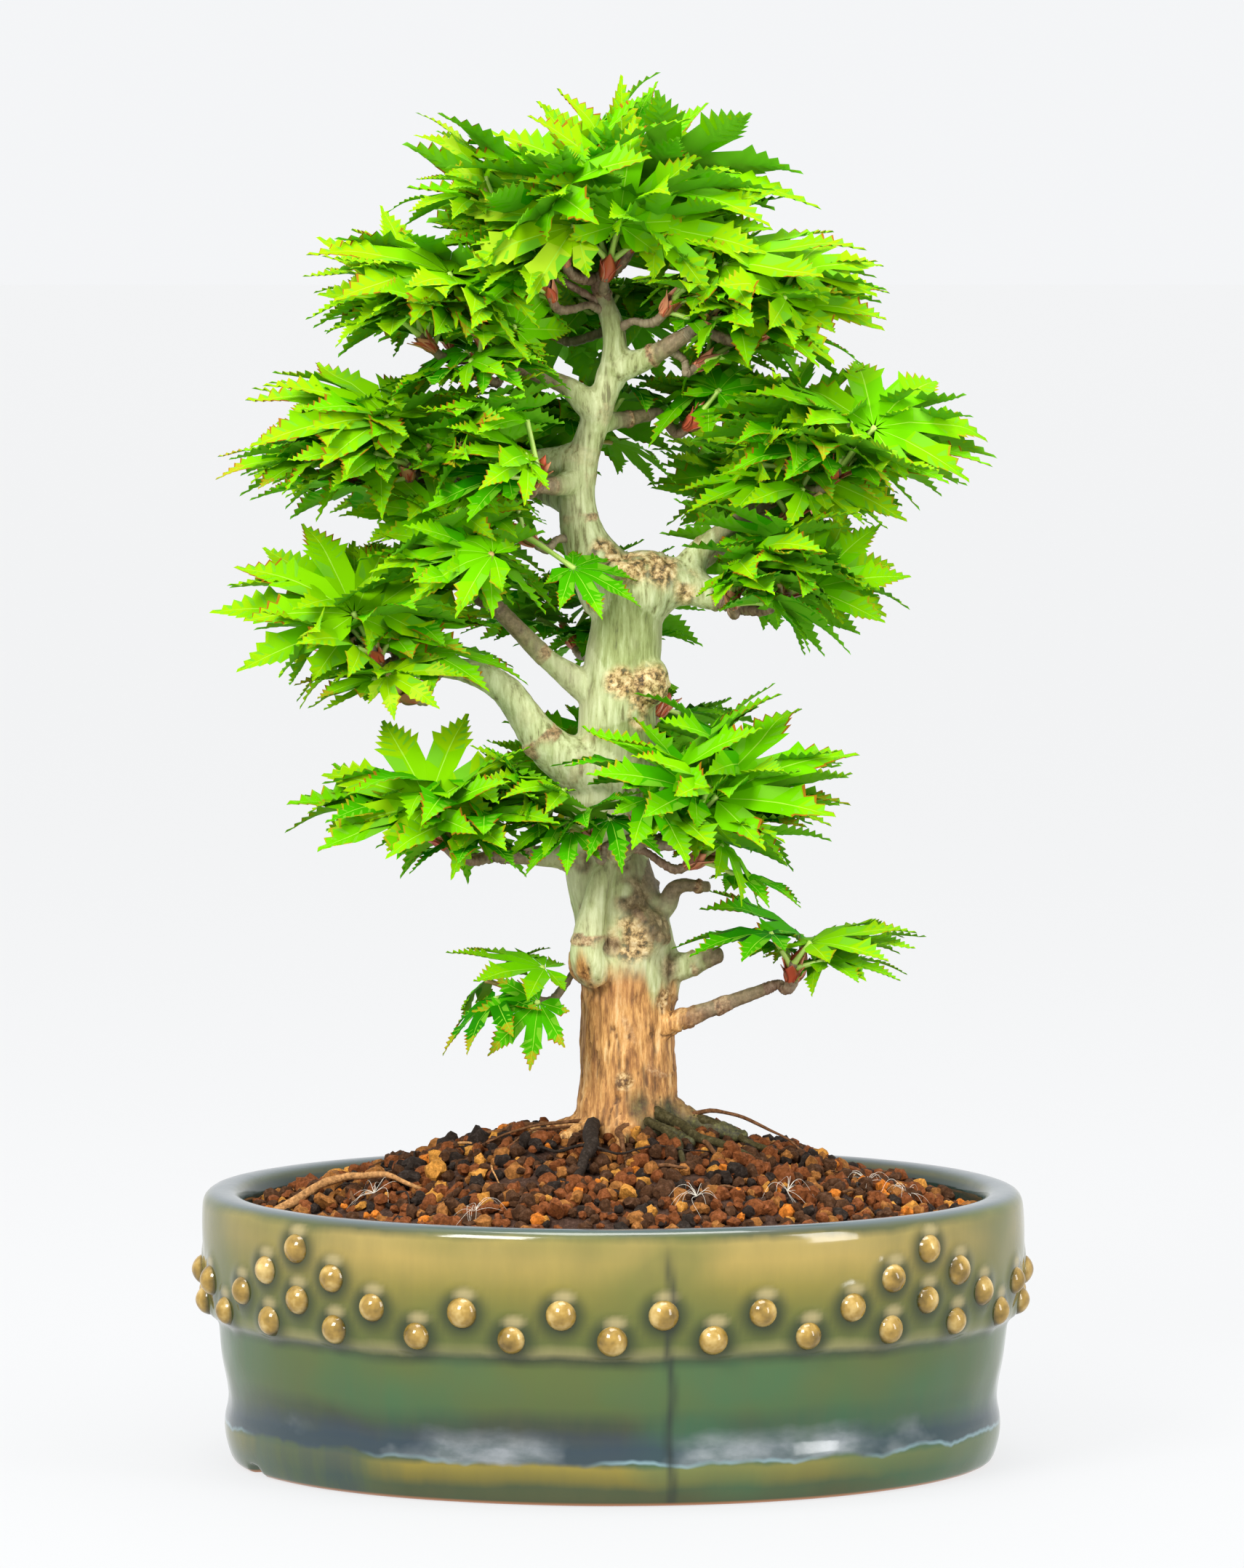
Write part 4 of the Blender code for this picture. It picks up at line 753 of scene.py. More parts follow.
def trunkLine(rings=60):
    # the trunk leans from foot to top with two bows, and tapers with two bulges
    share = np.linspace(0, 1, rings)
    low, high = np.array(wood["foot"]), np.array(wood["top"])
    x, z, radius = (low[k] + (high[k] - low[k]) * share for k in range(3))
    for bow, at, width in wood["bows"]:
        x = x + bow * np.exp(-(((z - at) / width) ** 2))
    for bulge, at, width in wood["bulges"]:
        radius = radius + bulge * np.exp(-(((z - at) / width) ** 2))
    return np.column_stack([x, 0 * x, z, radius]) * mm


def rootLine(direction, length, height, radius):
    # a root leaves the trunk steeply, then runs out flat on the ground
    angle = math.radians(direction)
    share = np.linspace(0.1, 1.12, 9)
    x = wood["foot"][0] + length * share * math.cos(angle)
    y = length * share * math.sin(angle)
    z = height * np.clip(1 - share, 0, 1) ** 1.8 + radius * 0.10 - 4.0 * np.clip(share - 0.9, 0, 1)
    z = z + soil["ground"] / mm
    return np.column_stack([x, y, z, radius * (1.0 - 0.62 * share)]) * mm


def limbLine(name):
    return trunkLine() if name == "trunk" else smoothLine(limbs[name])


def tubeArrays(line, sides):
    # rings square to the line, each turned on from the one before so that the tube doesn't twist, with closed ends
    spots, radius = line[:, :3], line[:, 3]
    ahead = unit(np.gradient(spots, axis=0))
    side = np.empty_like(spots)
    before = anySide
    for k in range(len(spots)):
        side[k] = before = squareTo(ahead[k], before)
    up = np.cross(ahead, side)
    angle = np.linspace(0, 2 * np.pi, sides, endpoint=False)
    ring = side[:, None] * np.cos(angle)[None, :, None] + up[:, None] * np.sin(angle)[None, :, None]
    points = (spots[:, None] + ring * radius[:, None, None]).reshape(-1, 3)
    ends = [spots[:1] - ahead[:1] * radius[0] * 0.3, spots[-1:] + ahead[-1:] * radius[-1] * 0.3]
    points = np.concatenate([points, *ends])
    foot, tip = len(points) - 2, len(points) - 1
    caps = np.concatenate([fanFaces(sides, 0, foot, False), fanFaces(sides, (len(spots) - 1) * sides, tip)])
    return points, gridFaces(len(spots), sides), caps


def woodLines():
    # the trunk's line and every limb's, as middle points and radii
    lines = {"trunk": trunkLine()}
    for name, limb in limbs.items():
        line = smoothLine(limb)
        # a collar: each limb swells where it leaves its carrier
        carrier = wood["top"][2] * mm if limb[0] == "trunk" else 0.003
        line[:, 3] *= 1 + wood["collar"] * np.exp(-((lengthAlong(line[:, :3]) / (carrier + 0.006)) ** 2))
        lines[name] = line
    return lines


def fusedWood(lines):
    # tubes, lumps and roots joined and remade as one skin on an even grid, then eased
    parts = [tubeArrays(line, 40 if name == "trunk" else 16) for name, line in lines.items()]
    parts += [tubeArrays(rootLine(*root), 14) for root in wood["roots"]]
    ball, faces = ballTemplate(3)
    points, quads, tris = joined(parts)
    for middle, half in wood["lumps"]:
        tris = np.concatenate([tris, faces + len(points)])
        points = np.concatenate([points, (ball * np.array(half) + np.array(middle)) * mm])
    mesh = bpy.data.meshes.new("rawWood")
    mesh.from_pydata(points.tolist(), [], quads.tolist() + tris.tolist())
    raw = addThing("rawWood", mesh)
    remesh = raw.modifiers.new("remesh", "REMESH")
    remesh.mode, remesh.voxel_size = "VOXEL", wood["voxel"]
    ease = raw.modifiers.new("ease", "SMOOTH")
    ease.factor, ease.iterations = 0.5, 6
    graph = bpy.context.evaluated_depsgraph_get()
    skin = raw.evaluated_get(graph).to_mesh()
    spots, faces = meshArrays(skin)
    normals = np.empty(spots.size, np.float32)
    skin.vertices.foreach_get("normal", normals)
    raw.evaluated_get(graph).to_mesh_clear()
    bpy.data.objects.remove(raw)
    return spots, normals.reshape(-1, 3).astype(float), faces


def barkFinish():
    # pale green bark and tan flaking bark, each a ramp of a stretched noise, then twig brown, rings, scars, burls,
    # cracks and moss, laid over each other by the piece's own values
    s = Shade("bark", 0.72)
    streak = s.noise(520, (1, 1, 0.16), 5, 0.65)
    broad = s.noise(75, (1, 1, 0.5), 3)
    speck = s.noise(800, (1, 1, 1), 3, 0.7)
    green = s.ramp(streak, [
        (0.30, (0.085, 0.090, 0.026)), (0.44, (0.275, 0.310, 0.095)), (0.57, (0.400, 0.450, 0.180)),
        (0.74, (0.640, 0.690, 0.390)),
    ])
    grey = s.mix(s.steps(broad, 0.45, 0.66, (0.0, 0.60)), green, (0.470, 0.440, 0.270))
    fibre = s.noise(620, (1, 1, 0.14), 6, 0.7)
    tan = s.ramp(fibre, [
        (0.30, (0.060, 0.024, 0.006)), (0.43, (0.320, 0.145, 0.036)), (0.54, (0.660, 0.345, 0.100)),
        (0.70, (0.920, 0.640, 0.300)),
    ])
    tan = s.mix(s.steps(broad, 0.38, 0.68, (0.0, 0.55)), tan, (0.360, 0.140, 0.036))
    # limbs painted paler: partly their own pale bark, partly painted light where the leaves shade them
    grey = s.mix(s.attribute("paleBarkAndPaintedLight"), grey, s.ramp(streak, [
        (0.36, (0.260, 0.230, 0.090)), (0.46, (0.640, 0.660, 0.350)), (0.60, (0.800, 0.820, 0.500)),
    ]))
    both = s.mix(s.attribute("rough"), grey, tan)
    twig = s.mix(s.attribute("thin"), both, s.ramp(speck, [
        (0.3, (0.10, 0.055, 0.030)), (0.6, (0.26, 0.165, 0.095)), (0.8, (0.40, 0.29, 0.18)),
    ]))
    ringed = s.mix(s.attribute("ring"), twig, s.ramp(speck, [
        (0.36, (0.085, 0.034, 0.014)), (0.50, (0.330, 0.160, 0.070)), (0.66, (0.600, 0.440, 0.240)),
    ]))
    gold = s.ramp(s.noise(420, (1, 1, 1), 5, 0.7), [
        (0.40, (0.050, 0.022, 0.006)), (0.47, (0.330, 0.180, 0.055)), (0.54, (0.680, 0.470, 0.210)),
        (0.66, (0.860, 0.700, 0.420)),
    ])
    scarred = s.mix(s.attribute("scar"), ringed, gold)
    burl = s.ramp(s.noise(330, (1, 1, 0.7), 5, 0.7), [
        (0.36, (0.020, 0.011, 0.004)), (0.50, (0.150, 0.090, 0.036)), (0.66, (0.440, 0.330, 0.170)),
    ])
    knotty = s.mix(s.attribute("burl"), scarred, burl)
    cracked = s.mix(s.attribute("crack"), knotty, (0.060, 0.024, 0.007))
    mossy = s.mix(s.attribute("moss"), cracked, s.ramp(speck, [
        (0.35, (0.018, 0.016, 0.006)), (0.6, (0.075, 0.070, 0.018)), (0.8, (0.16, 0.17, 0.035)),
    ]))
    relief = s.math("ADD", s.math("MULTIPLY", streak, 0.6), s.math("MULTIPLY", speck, 0.4))
    return s.finish(mossy, s.steps(streak, 0.3, 0.7, (0.62, 0.82)), relief, 0.00045, 0.75)


def nearestRow(spots, middles):
    # the number of the middle nearest to each spot, block by block so that the arrays stay small
    blocks, middles = np.array_split(spots.astype(np.float32), 60), middles.astype(np.float32)
    return np.concatenate([((block[:, None] - middles) ** 2).sum(-1).argmin(1) for block in blocks])


def nearMarks(marks, spots, inner):
    # how near spots lie to marked places, in mm: from nought at a mark's reach to one at the inner share of it
    gaps = [np.linalg.norm(spots - middle, axis=1) for middle, _ in marks]
    return np.max([smoothStep(far, far * inner, gap) for gap, (_, far) in zip(gaps, marks)], axis=0)


def makeWood():
    lines = woodLines()
    spots, normals, faces = fusedWood(lines)
    # what each point of the skin takes from the nearest line: its radius, the way along it, and which line it is
    rows = np.concatenate([
        np.column_stack([line, lengthAlong(line[:, :3]), np.tile([name != "trunk", len(name) % 7], (len(line), 1))])
        for name, line in lines.items()
    ])
    radius, along, isLimb, phase = rows[nearestRow(spots, rows[:, :3]), 3:].T
    x, y, z = (spots / mm).T
    deep = wood["relief"]
    # rough bark low on the trunk, its upper edge ragged and lower on the right
    edge = 128 - 0.35 * (x - 4) + 7 * softNoise(np.stack([x / 4, y / 4, 0 * z], -1), 12)
    rough = smoothStep(4, -4, z - edge)
    fibre = 1 - np.abs(softNoise(np.stack([x / 1.5, y / 1.5, z / 8.5], -1), 13))
    flake = softNoise(np.stack([x / 0.9, y / 0.9, z / 3.2], -1), 14)
    stripe = softNoise(np.stack([x / 0.9, y / 0.9, z / 7.0], -1), 15)
    lump = softNoise(np.stack([x / 5, y / 5, z / 8], -1), 16)
    crack = smoothStep(0.86, 0.98, fibre) * smoothStep(-0.5, 0.3, softNoise(spots * 420, 25))
    low = crack * deep["crack"] + flake * deep["flake"] + softNoise(spots * 300, 26) * deep["grit"]
    lift = rough * low + (1 - rough) * stripe * deep["stripe"]
    lift = lift + lump * np.where(isLimb > 0, deep["limbLump"], deep["trunkLump"])
    # brown ring scars round the leader and the limbs
    pitch = 9.5 + phase
    ring = np.exp(-((((along / mm + 2.5 * phase) % pitch - pitch / 2) / 0.75) ** 2)) * isLimb
    ring = ring * smoothStep(-0.35, 0.35, softNoise(spots * 230, 17))
    knob = softNoise(spots * 620, 18)
    lift = lift + ring * (deep["ring"] + deep["ringKnob"] * knob)
    # callus scars and burls, knobbly, at the marked places
    scar = nearMarks(wood["scars"], spots / mm, 0.55) * smoothStep(-0.75, -0.1, softNoise(spots * 330, 20))
    burl = nearMarks(wood["burls"], spots / mm, 0.5) * smoothStep(-0.7, 0.0, softNoise(spots * 260, 23))
    knobs = knob * 0.5 + softNoise(spots * 1200, 19) * 0.3
    lift = lift + scar * knobs * deep["scarKnob"]
    lift = lift + burl * (knobs * deep["burlKnob"] + softNoise(spots * 350, 24) * deep["burlLump"])
    # moss on the root flare, more of it on the right
    patch = softNoise(spots * 190, 22) + np.clip((x - 6) / 12, -0.5, 1)
    moss = smoothStep(103, 91, z - 5 * softNoise(spots * 260, 27)) * smoothStep(-0.2, 0.3, patch)
    values = {
        # limbs paler, partly by their own pale bark and partly as painted light against the leaves' shade
        "rough": rough, "paleBarkAndPaintedLight": isLimb * smoothStep(0.0024, 0.0045, radius) * (0.42 + 0.25 * stripe),
        "ring": ring * 0.9, "scar": scar * 0.9, "moss": moss,
        "thin": isLimb * smoothStep(0.0031, 0.0023, radius) * 0.85,
        "burl": burl * 0.92, "crack": crack * rough * 0.75,
    }
    stands = ["trunk"] + [name for name in limbs if name != "sproutStub"]
    points = spots + normals * lift[:, None] * mm
    makePiece("bark", points, faces, [barkFinish()], stands, values=values)


makeWood()
makeStrands()

# the leaves: a lobed blade worked out once, then bent and laid anew for every leaf
leaf = {
    "length": 0.0375, "thickness": 0.00028, "slant": 0.60, "tooth": 0.17, "pleat": 0.012, "gutter": 0.24,
    "lobes": [(0, 1.00), (38, 0.93), (76, 0.74), (117, 0.45)],
    "sinus": [0.47, 0.43, 0.31, 0.18], "halfGaps": [19.0, 19.0, 20.5, 34.0],
    "across": (-1.0, -0.86, -0.035, 0.035, 0.86, 1.0),
}


def halfWidth(at, gap, notch, reach):
    # half a lobe's width: up to the notch it follows the line shared with the next lobe, then swells and tapers
    corner = notch * math.cos(math.radians(gap))
    t = np.clip((at - corner) / (reach - corner), 0, 1)
    free = corner * math.tan(math.radians(gap)) * (1 - t) ** 1.05 * (1 + 2.1 * t * (1 - t))
    return np.where(at < corner, at * math.tan(math.radians(gap)), free), at > corner * 1.04


def lobeArrays(angle, reach, leftGap, leftSinus, rightGap, rightSinus, teeth):
    # one lobe along its midrib: its rows are slanted forward, and pushed out and in by turns for the teeth
    sinus = 0.5 * (leftSinus + rightSinus)
    inner = np.linspace(0.10, sinus, 2, endpoint=False)
    outer = sinus + (reach - sinus) * (np.arange(2 * teeth) + 0.4) / (2 * teeth + 0.6)
    rows = np.concatenate([inner, outer])
    columns = np.array(leaf["across"])
    turn = np.where(np.arange(len(rows)) % 2 == 0, -1.0, 1.0)
    sides = []
    for gap, notch in ((leftGap, leftSinus), (rightGap, rightSinus)):
        width, _ = halfWidth(rows, gap, notch, reach)
        edge = np.minimum(rows + leaf["slant"] * width, reach * 0.985)
        width, free = halfWidth(edge, gap, notch, reach)
        ahead = np.where(turn > 0, 0.34, -0.12) * free * (reach - sinus) / (2 * teeth) * 1.6
        sides.append((np.minimum(edge + ahead, reach * 0.99), width * (1 + turn * leaf["tooth"] * free)))
    share, isLeft = np.abs(columns)[None], (columns < 0)[None]
    x = rows[:, None] * (1 - share) + np.where(isLeft, sides[0][0][:, None], sides[1][0][:, None]) * share
    y = columns[None] * np.where(isLeft, sides[0][1][:, None], sides[1][1][:, None])
    z = leaf["gutter"] * np.abs(y) + leaf["pleat"] * turn[:, None] * (rows > sinus * 0.5)[:, None] * (share > 0.5)
    top = np.stack([x, y, z], -1)
    middle = np.stack([rows, 0 * rows, -np.full(len(rows), leaf["thickness"] / leaf["length"])], -1)
    # order of points: foot, tip, the top's grid row by row, then the underside's midrib
    points = np.concatenate([[[0.02, 0, 0], [reach, 0, 0.0]], top.reshape(-1, 3), middle])
    wide, high = len(columns), len(rows)
    grid = 2 + np.arange(high * wide).reshape(high, wide)
    under = 2 + high * wide + np.arange(high)
    topQuads = np.stack([grid[1:, 1:], grid[1:, :-1], grid[:-1, :-1], grid[:-1, 1:]], -1).reshape(-1, 4)
    lowQuads = np.concatenate([
        np.stack([grid[1:, 0], under[1:], under[:-1], grid[:-1, 0]], 1),
        np.stack([under[1:], grid[1:, -1], grid[:-1, -1], under[:-1]], 1),
    ])
    footTop = np.stack([grid[0, 1:], grid[0, :-1], np.zeros(wide - 1, int)], 1)
    tipTop = np.stack([np.ones(wide - 1, int), grid[-1, :-1], grid[-1, 1:]], 1)
    lowEnds = np.array([
        [grid[0, 0], under[0], 0], [under[0], grid[0, -1], 0],
        [1, under[-1], grid[-1, 0]], [1, grid[-1, -1], under[-1]],
    ])
    # kinds are 0 foot of the blade, 1 its middle, 5 its tip, 2 edge near the tip, 3 vein, 4 underside
    out = (rows[:-1] + rows[1:]) / 2 / reach
    blade = np.where(out < 0.42, 0, np.where(out < 0.72, 1, 5))
    edge = np.where(out < 0.58, blade, 2)
    across = np.stack([edge, blade, 0 * blade + 3, blade, edge], 1).ravel()
    quadKind = np.concatenate([across, np.full(len(lowQuads), 4)])
    triKind = np.array([0, 0, 3, 0, 0, 2, 5, 5, 5, 2, 4, 4, 4, 4])
    c, s = math.cos(math.radians(angle)), math.sin(math.radians(angle))
    swung = np.column_stack([points[:, 0] * c - points[:, 1] * s, points[:, 0] * s + points[:, 1] * c, points[:, 2]])
    return swung, np.concatenate([topQuads, lowQuads]), np.concatenate([footTop, tipTop, lowEnds]), quadKind, triKind


def leafTemplate(lobeCount, teeth):
    # the middle lobe and its mirrored neighbours, each between the gap on its inner side and the one beyond it
    parts, quadKinds, triKinds = [], [], []
    for number in range(-(lobeCount // 2), lobeCount // 2 + 1):
        k = abs(number)
        angle, reach = leaf["lobes"][k]
        near, far = ((leaf["halfGaps"][i], leaf["sinus"][i]) for i in (max(k - 1, 0), k))
        left, right = (far, near) if number < 0 else (near, far)
        arrays = lobeArrays(math.copysign(angle, number), reach, *left, *right, max(2, teeth - k))
        parts.append(arrays[:3])
        quadKinds.append(arrays[3])
        triKinds.append(arrays[4])
    points, quads, tris = joined(parts)
    return points, quads, tris, np.concatenate(quadKinds), np.concatenate(triKinds)


leafTones = [
    ("leafDeep", (0.016, 0.200, 0.0001)), ("leafShade", (0.052, 0.350, 0.0002)), ("leafMid", (0.125, 0.455, 0.0003)),
    ("leafFresh", (0.175, 0.475, 0.0005)), ("leafBright", (0.235, 0.475, 0.0008)), ("leafLime", (0.330, 0.520, 0.0150)),
    ("leafUnder", (0.150, 0.440, 0.0150)), ("leafVein", (0.300, 0.580, 0.0400)), ("leafRust", (0.270, 0.120, 0.0060)),
    ("leafAmber", (0.310, 0.300, 0.0070)),
]


def leafFinishes():
    return [plainFinish(name, tone, 0.60, **{"Specular IOR Level": 0.02}) for name, tone in leafTones]


# each mass: its limb, middle and half sizes in mm, buds, leaves and seed
masses = {
    "foliage_apex": ("leader", (-3, -4, 341), (55, 44, 33), 4, 45, 11),
    "foliage_upper_left": ("bough_upper_left", (-47, -6, 311), (38, 38, 26), 3, 26, 12),
    "foliage_upper_right": ("bough_upper_right", (38, -8, 311), (36, 38, 25), 3, 25, 13),
    "foliage_far_right": ("bough_right_rise", (61, -6, 276), (38, 38, 24), 3, 23, 14),
    "foliage_right_inner": ("bough_right_inner", (20, 14, 281), (25, 30, 20), 2, 13, 15),
    "foliage_right_low": ("bough_right", (42, -8, 241), (36, 36, 24), 3, 21, 16),
    "foliage_left_mid": ("bough_left_mid", (-65, -6, 273), (38, 38, 24), 3, 23, 17),
    "foliage_left_inner": ("bough_left_inner", (-29, -20, 272), (26, 32, 23), 2, 15, 18),
    "foliage_left_low": ("bough_left_low", (-68, -8, 227), (37, 38, 27), 3, 25, 19),
    "foliage_left_low_inner": ("bough_left_low_inner", (-36, -14, 243), (30, 34, 22), 2, 15, 20),
    "foliage_front_low": ("bough_front_low", (24, -24, 184), (42, 36, 28), 4, 25, 21),
    "foliage_left_bottom": ("bough_left_bottom", (-43, -12, 177), (43, 36, 24), 3, 19, 22),
    "foliage_right_bottom": ("bough_right_low", (47, -6, 137), (36, 30, 20), 2, 9, 23),
    "foliage_left_sprout": ("trunk", (-27, -8, 126), (24, 24, 22), 1, 2, 24),
    "foliage_back_top": ("bough_back_top", (-12, 46, 309), (44, 36, 30), 3, 20, 25),
    "foliage_back_left": ("bough_back_left", (-42, 46, 264), (38, 36, 26), 3, 19, 26),
    "foliage_back_right": ("bough_right_back", (46, 46, 264), (36, 36, 28), 3, 19, 27),
    "foliage_back_mid": ("bough_back_mid", (-6, 50, 226), (36, 32, 24), 2, 14, 28),
    "foliage_back_low": ("bough_back_low", (6, 44, 183), (42, 36, 26), 3, 17, 29),
}
# small sprigs that fill the crown between the masses, as the masses are given
sprigs = {
    "sprig_top_left": ("leader", (-42, -10, 345), (24, 20, 16), 1, 6, 55),
    "sprig_front_under": ("bough_front_low", (33, -20, 160), (22, 16, 13), 1, 5, 56),
    "sprig_top": ("leader", (-3, -9, 335), (30, 20, 35), 1, 9, 53),
    "sprig_trunk_front": ("bough_front_low", (-5, -23, 171), (25, 18, 20), 1, 7, 54),
    "sprig_crown_left": ("leader", (-22, -12, 318), (28, 24, 17), 1, 8, 41),
    "sprig_crown_right": ("leader", (20, -12, 316), (26, 24, 17), 1, 7, 42),
    "sprig_left_high": ("bough_upper_left", (-36, -14, 293), (30, 24, 15), 1, 8, 43),
    "sprig_right_high": ("bough_upper_right", (22, -2, 296), (28, 26, 16), 1, 7, 44),
    "sprig_left_between": ("bough_left_mid", (-40, -4, 255), (32, 26, 14), 1, 8, 45),
    "sprig_right_between": ("bough_right_rise", (46, -6, 256), (28, 24, 14), 1, 7, 46),
    "sprig_leader_left": ("leader", (-22, -8, 250), (20, 20, 13), 1, 5, 48),
    "sprig_back_high": ("leader", (-4, 22, 280), (34, 22, 24), 1, 8, 49),
    "sprig_back_middle": ("trunk", (14, 26, 206), (28, 22, 20), 1, 6, 50),
    "sprig_front_left": ("bough_left_bottom", (-20, -20, 178), (26, 22, 18), 1, 7, 51),
    "sprig_left_under": ("bough_left_low", (-52, -12, 208), (30, 26, 14), 1, 7, 52),
}
growth = {
    "twigRadius": 0.00125, "budLength": 0.0085, "budSpread": 0.20, "pairStep": 0.0014,
    "petiole": (0.0085, 0.0195), "petioleRadius": 0.00066, "fullSize": 0.0330, "mingle": 0.0065, "cellTall": 1.3,
    # radii of the sprout's and the sprigs' stems
    "stems": (0.0012, 0.0014),
    # how many ways are tried for a leaf and how often each is bent back, how far it may pass its space, how far it
    # keeps from the wood and from its own mass's twigs, and the least score that it needs
    "tries": 44, "bends": 12, "loose": 0.0032, "woodGap": 0.0012, "twigGap": 0.0005, "leastScore": 0.0052,
    # how far from a mass's middle others' middles, in mm, and wood and leaves, in metres, still count for its leaves
    "massReach": 95, "woodReach": 0.075, "leafReach": 0.065,
    # leaves placed as the photo shows them: foot of the blade in mm, its heading and facing, length in mm, droop, and
    # its share as it counts for the tone, from bright to deep
    # the tone's share sets its painted light and shade: below nought a leaf is painted brighter, above one deeper
    "shown": {
        "sprig_top": [
            ((1.6, -21, 330.5), (0.15, 0.22, 0.96), (0.1, -0.95, 0.25), 31, 0.12, -0.6),
            ((-10, -18, 330), (-0.93, -0.05, 0.30), (0.15, -0.70, 0.70), 36, 0.25, -0.6),
            ((12, -17, 329.5), (0.86, -0.10, 0.42), (-0.1, -0.75, 0.65), 33, 0.25, -0.6),
            ((1.5, -4, 332), (0.06, 0.12, 0.98), (0.40, -0.88, 0.25), 39, 0.10, -0.6),
        ],
        "foliage_left_sprout": [
            ((-18, -13, 133.2), (-0.95, -0.12, 0.25), (-0.02, -0.24, 0.97), 27, 0.10, 0.5),
            ((-19.5, -17, 124.5), (-0.72, -0.12, -0.68), (-0.25, -0.88, 0.35), 20, 0.10, 0.8),
        ],
        "sprig_leader_left": [((-10.5, -15.5, 239.6), (0.88, -0.36, -0.26), (0.14, -0.56, 0.82), 21, 0.26, 1.9)],
    },
    # wood and stalks that the photo shows bare, in front of which no blade lies: lines of x, z and half width in mm
    "bare": [
        [(-3, 316, 7), (1, 296, 8), (0, 280, 8), (-8, 264, 8), (-9, 250, 8), (-3, 243, 8), (6, 236, 9), (14, 235, 7)],
        [(-3, 316, 6), (-14, 327, 4)], [(-3, 316, 6), (7, 328, 4)],
    ],
    # where the photo shows sky among the masses: x, z and radius in mm
    "sky": [
        (-29, 362, 6), (-11, 365, 4), (-65, 296, 6), (-53, 297, 5), (65, 302, 7), (92, 269, 6), (81, 261, 4),
        (71, 243, 6), (-92, 217, 7), (-69, 200, 5), (-51, 203, 4), (-100, 225, 4), (-66, 162, 8), (-81, 172, 5),
        (-39, 127, 3), (61, 148, 5), (28, 127, 6), (38, 193, 5), (51, 166, 6), (26, 208, 8), (20, 222, 6),
    ],
}
skyRows = np.array(growth["sky"], float)
bareRows = np.concatenate([
    np.linspace(start, end, 6) for line in growth["bare"] for start, end in zip(line[:-1], line[1:])
])


def massOf(name):
    # a mass's row or a sprig's
    return masses.get(name) or sprigs[name]


def ownSpace(mass):
    # a mass's ellipsoid, cut by a plane between its middle and each other mass's, past which a leaf may mingle a little
    centre, half = (np.array(part, float) * mm for part in massOf(mass)[1:3])
    normals, limits = [np.array([0.0, 0.0, -1.0])], [-soil["ground"]]
    for other in masses:
        if other == mass or mass in sprigs:
            continue
        middle, sizes = (np.array(part, float) * mm for part in masses[other][1:3])
        line = unit(middle - centre)
        mine, its = 1 / np.linalg.norm(line / half), 1 / np.linalg.norm(line / sizes)
        normal = unit((middle - centre) * np.array([1.0, 1.0, growth["cellTall"] ** 2]))
        normals.append(normal)
        limits.append(np.dot(normal, centre + (middle - centre) * mine / (mine + its)) + growth["mingle"])
    return centre, half, np.array(normals), np.array(limits)


def wayOut(space, points):
    # for each set of points: how far its furthest point is out of the space, and which way
    centre, half, normals, limits = space
    scaled = (points - centre) / half
    reach = np.linalg.norm(scaled, axis=-1)
    over = (reach - 1) * np.linalg.norm(points - centre, axis=-1) / np.maximum(reach, 1e-6)
    past = points @ normals.T - limits
    worst, worstPast = over.max(1), past.max(1).max(1)
    outward = unit(scaled[np.arange(len(points)), over.argmax(1)] / half)
    byPlane = normals[past.max(1).argmax(1)]
    return np.maximum(worst, worstPast), np.where((worstPast > worst)[:, None], byPlane, outward)


def stemStart(mass, limb, centre):
    # where a stem starts, which way it goes and its radius: a mass's stem goes on from its limb's tip, a sprig's leaves
    # its limb at the point nearest to its middle, and the sprout's leaves the trunk low on the left
    line = limbLine(limb)
    if mass in sprigs:
        inner = line[2:-2]
        spot = inner[np.linalg.norm(inner[:, :3] - (centre - [0, 0, 0.010]), axis=1).argmin()]
        heading = unit(centre - [0, 0, 0.004] - spot[:3])
        return spot[:3] + heading * spot[3] * 0.8, heading, growth["stems"][1]
    if limb == "trunk":
        x, radius = (np.interp(wood["sproutHeight"], line[:, 2], line[:, k]) for k in (0, 3))
        heading = unit(np.array(wood["sproutWay"]))
        return np.array([x, 0.0, wood["sproutHeight"]]) + heading * radius * 0.8, heading, growth["stems"][0]
    heading = unit(line[-1, :3] - line[-3, :3])
    return line[-1, :3] - heading * 0.0006, heading, line[-1, 3]


def massTwigs(mass):
    # from the stem's fork one short twig runs to a knee under each bud, and then up its bud's axis
    limb, centre, half, budCount, _, seedNumber = massOf(mass)
    seed = np.random.default_rng(seedNumber)
    centre, half = np.array(centre) * mm, np.array(half) * mm
    start, heading, radius = stemStart(mass, limb, centre)
    fork = start + heading * 0.0040
    phase = seed.uniform(0, 2 * np.pi)
    spread = 0.0 if budCount == 1 else growth["budSpread"]
    twigs, buds = [], []
    for index in range(budCount):
        angle = phase + index * 2 * np.pi / budCount
        ring = np.array([np.cos(angle), np.sin(angle), 0])
        knee = fork + (centre - [0, 0, 0.6 * half[2]] - fork) * seed.uniform(0.35, 0.60) + ring * spread * half
        while np.dot(unit(knee - fork), heading) < 0.2:
            knee = knee + heading * growth["twigRadius"]
        way = unit(knee - fork)
        axis = unit(way * 0.35 + unit(centre - fork) * 0.30 + np.array([0, 0, 0.55]) + ring * 0.30)
        tip = knee + axis * growth["budLength"]
        thin = growth["twigRadius"]
        bends = np.array([start, fork, (fork + knee) / 2 - np.array([0, 0, 0.0008]), knee, tip]) / mm
        line = smoothLine((None, 1, 1, bends), 5)
        radii = [radius * 0.94, radius * 0.66, thin, thin * 0.9]
        line[:, 3] = np.interp(np.linspace(0, 1, len(line)), [0, 0.25, 0.7, 1], radii)
        twigs.append(line)
        buds.append((tip, axis))
    return twigs, buds


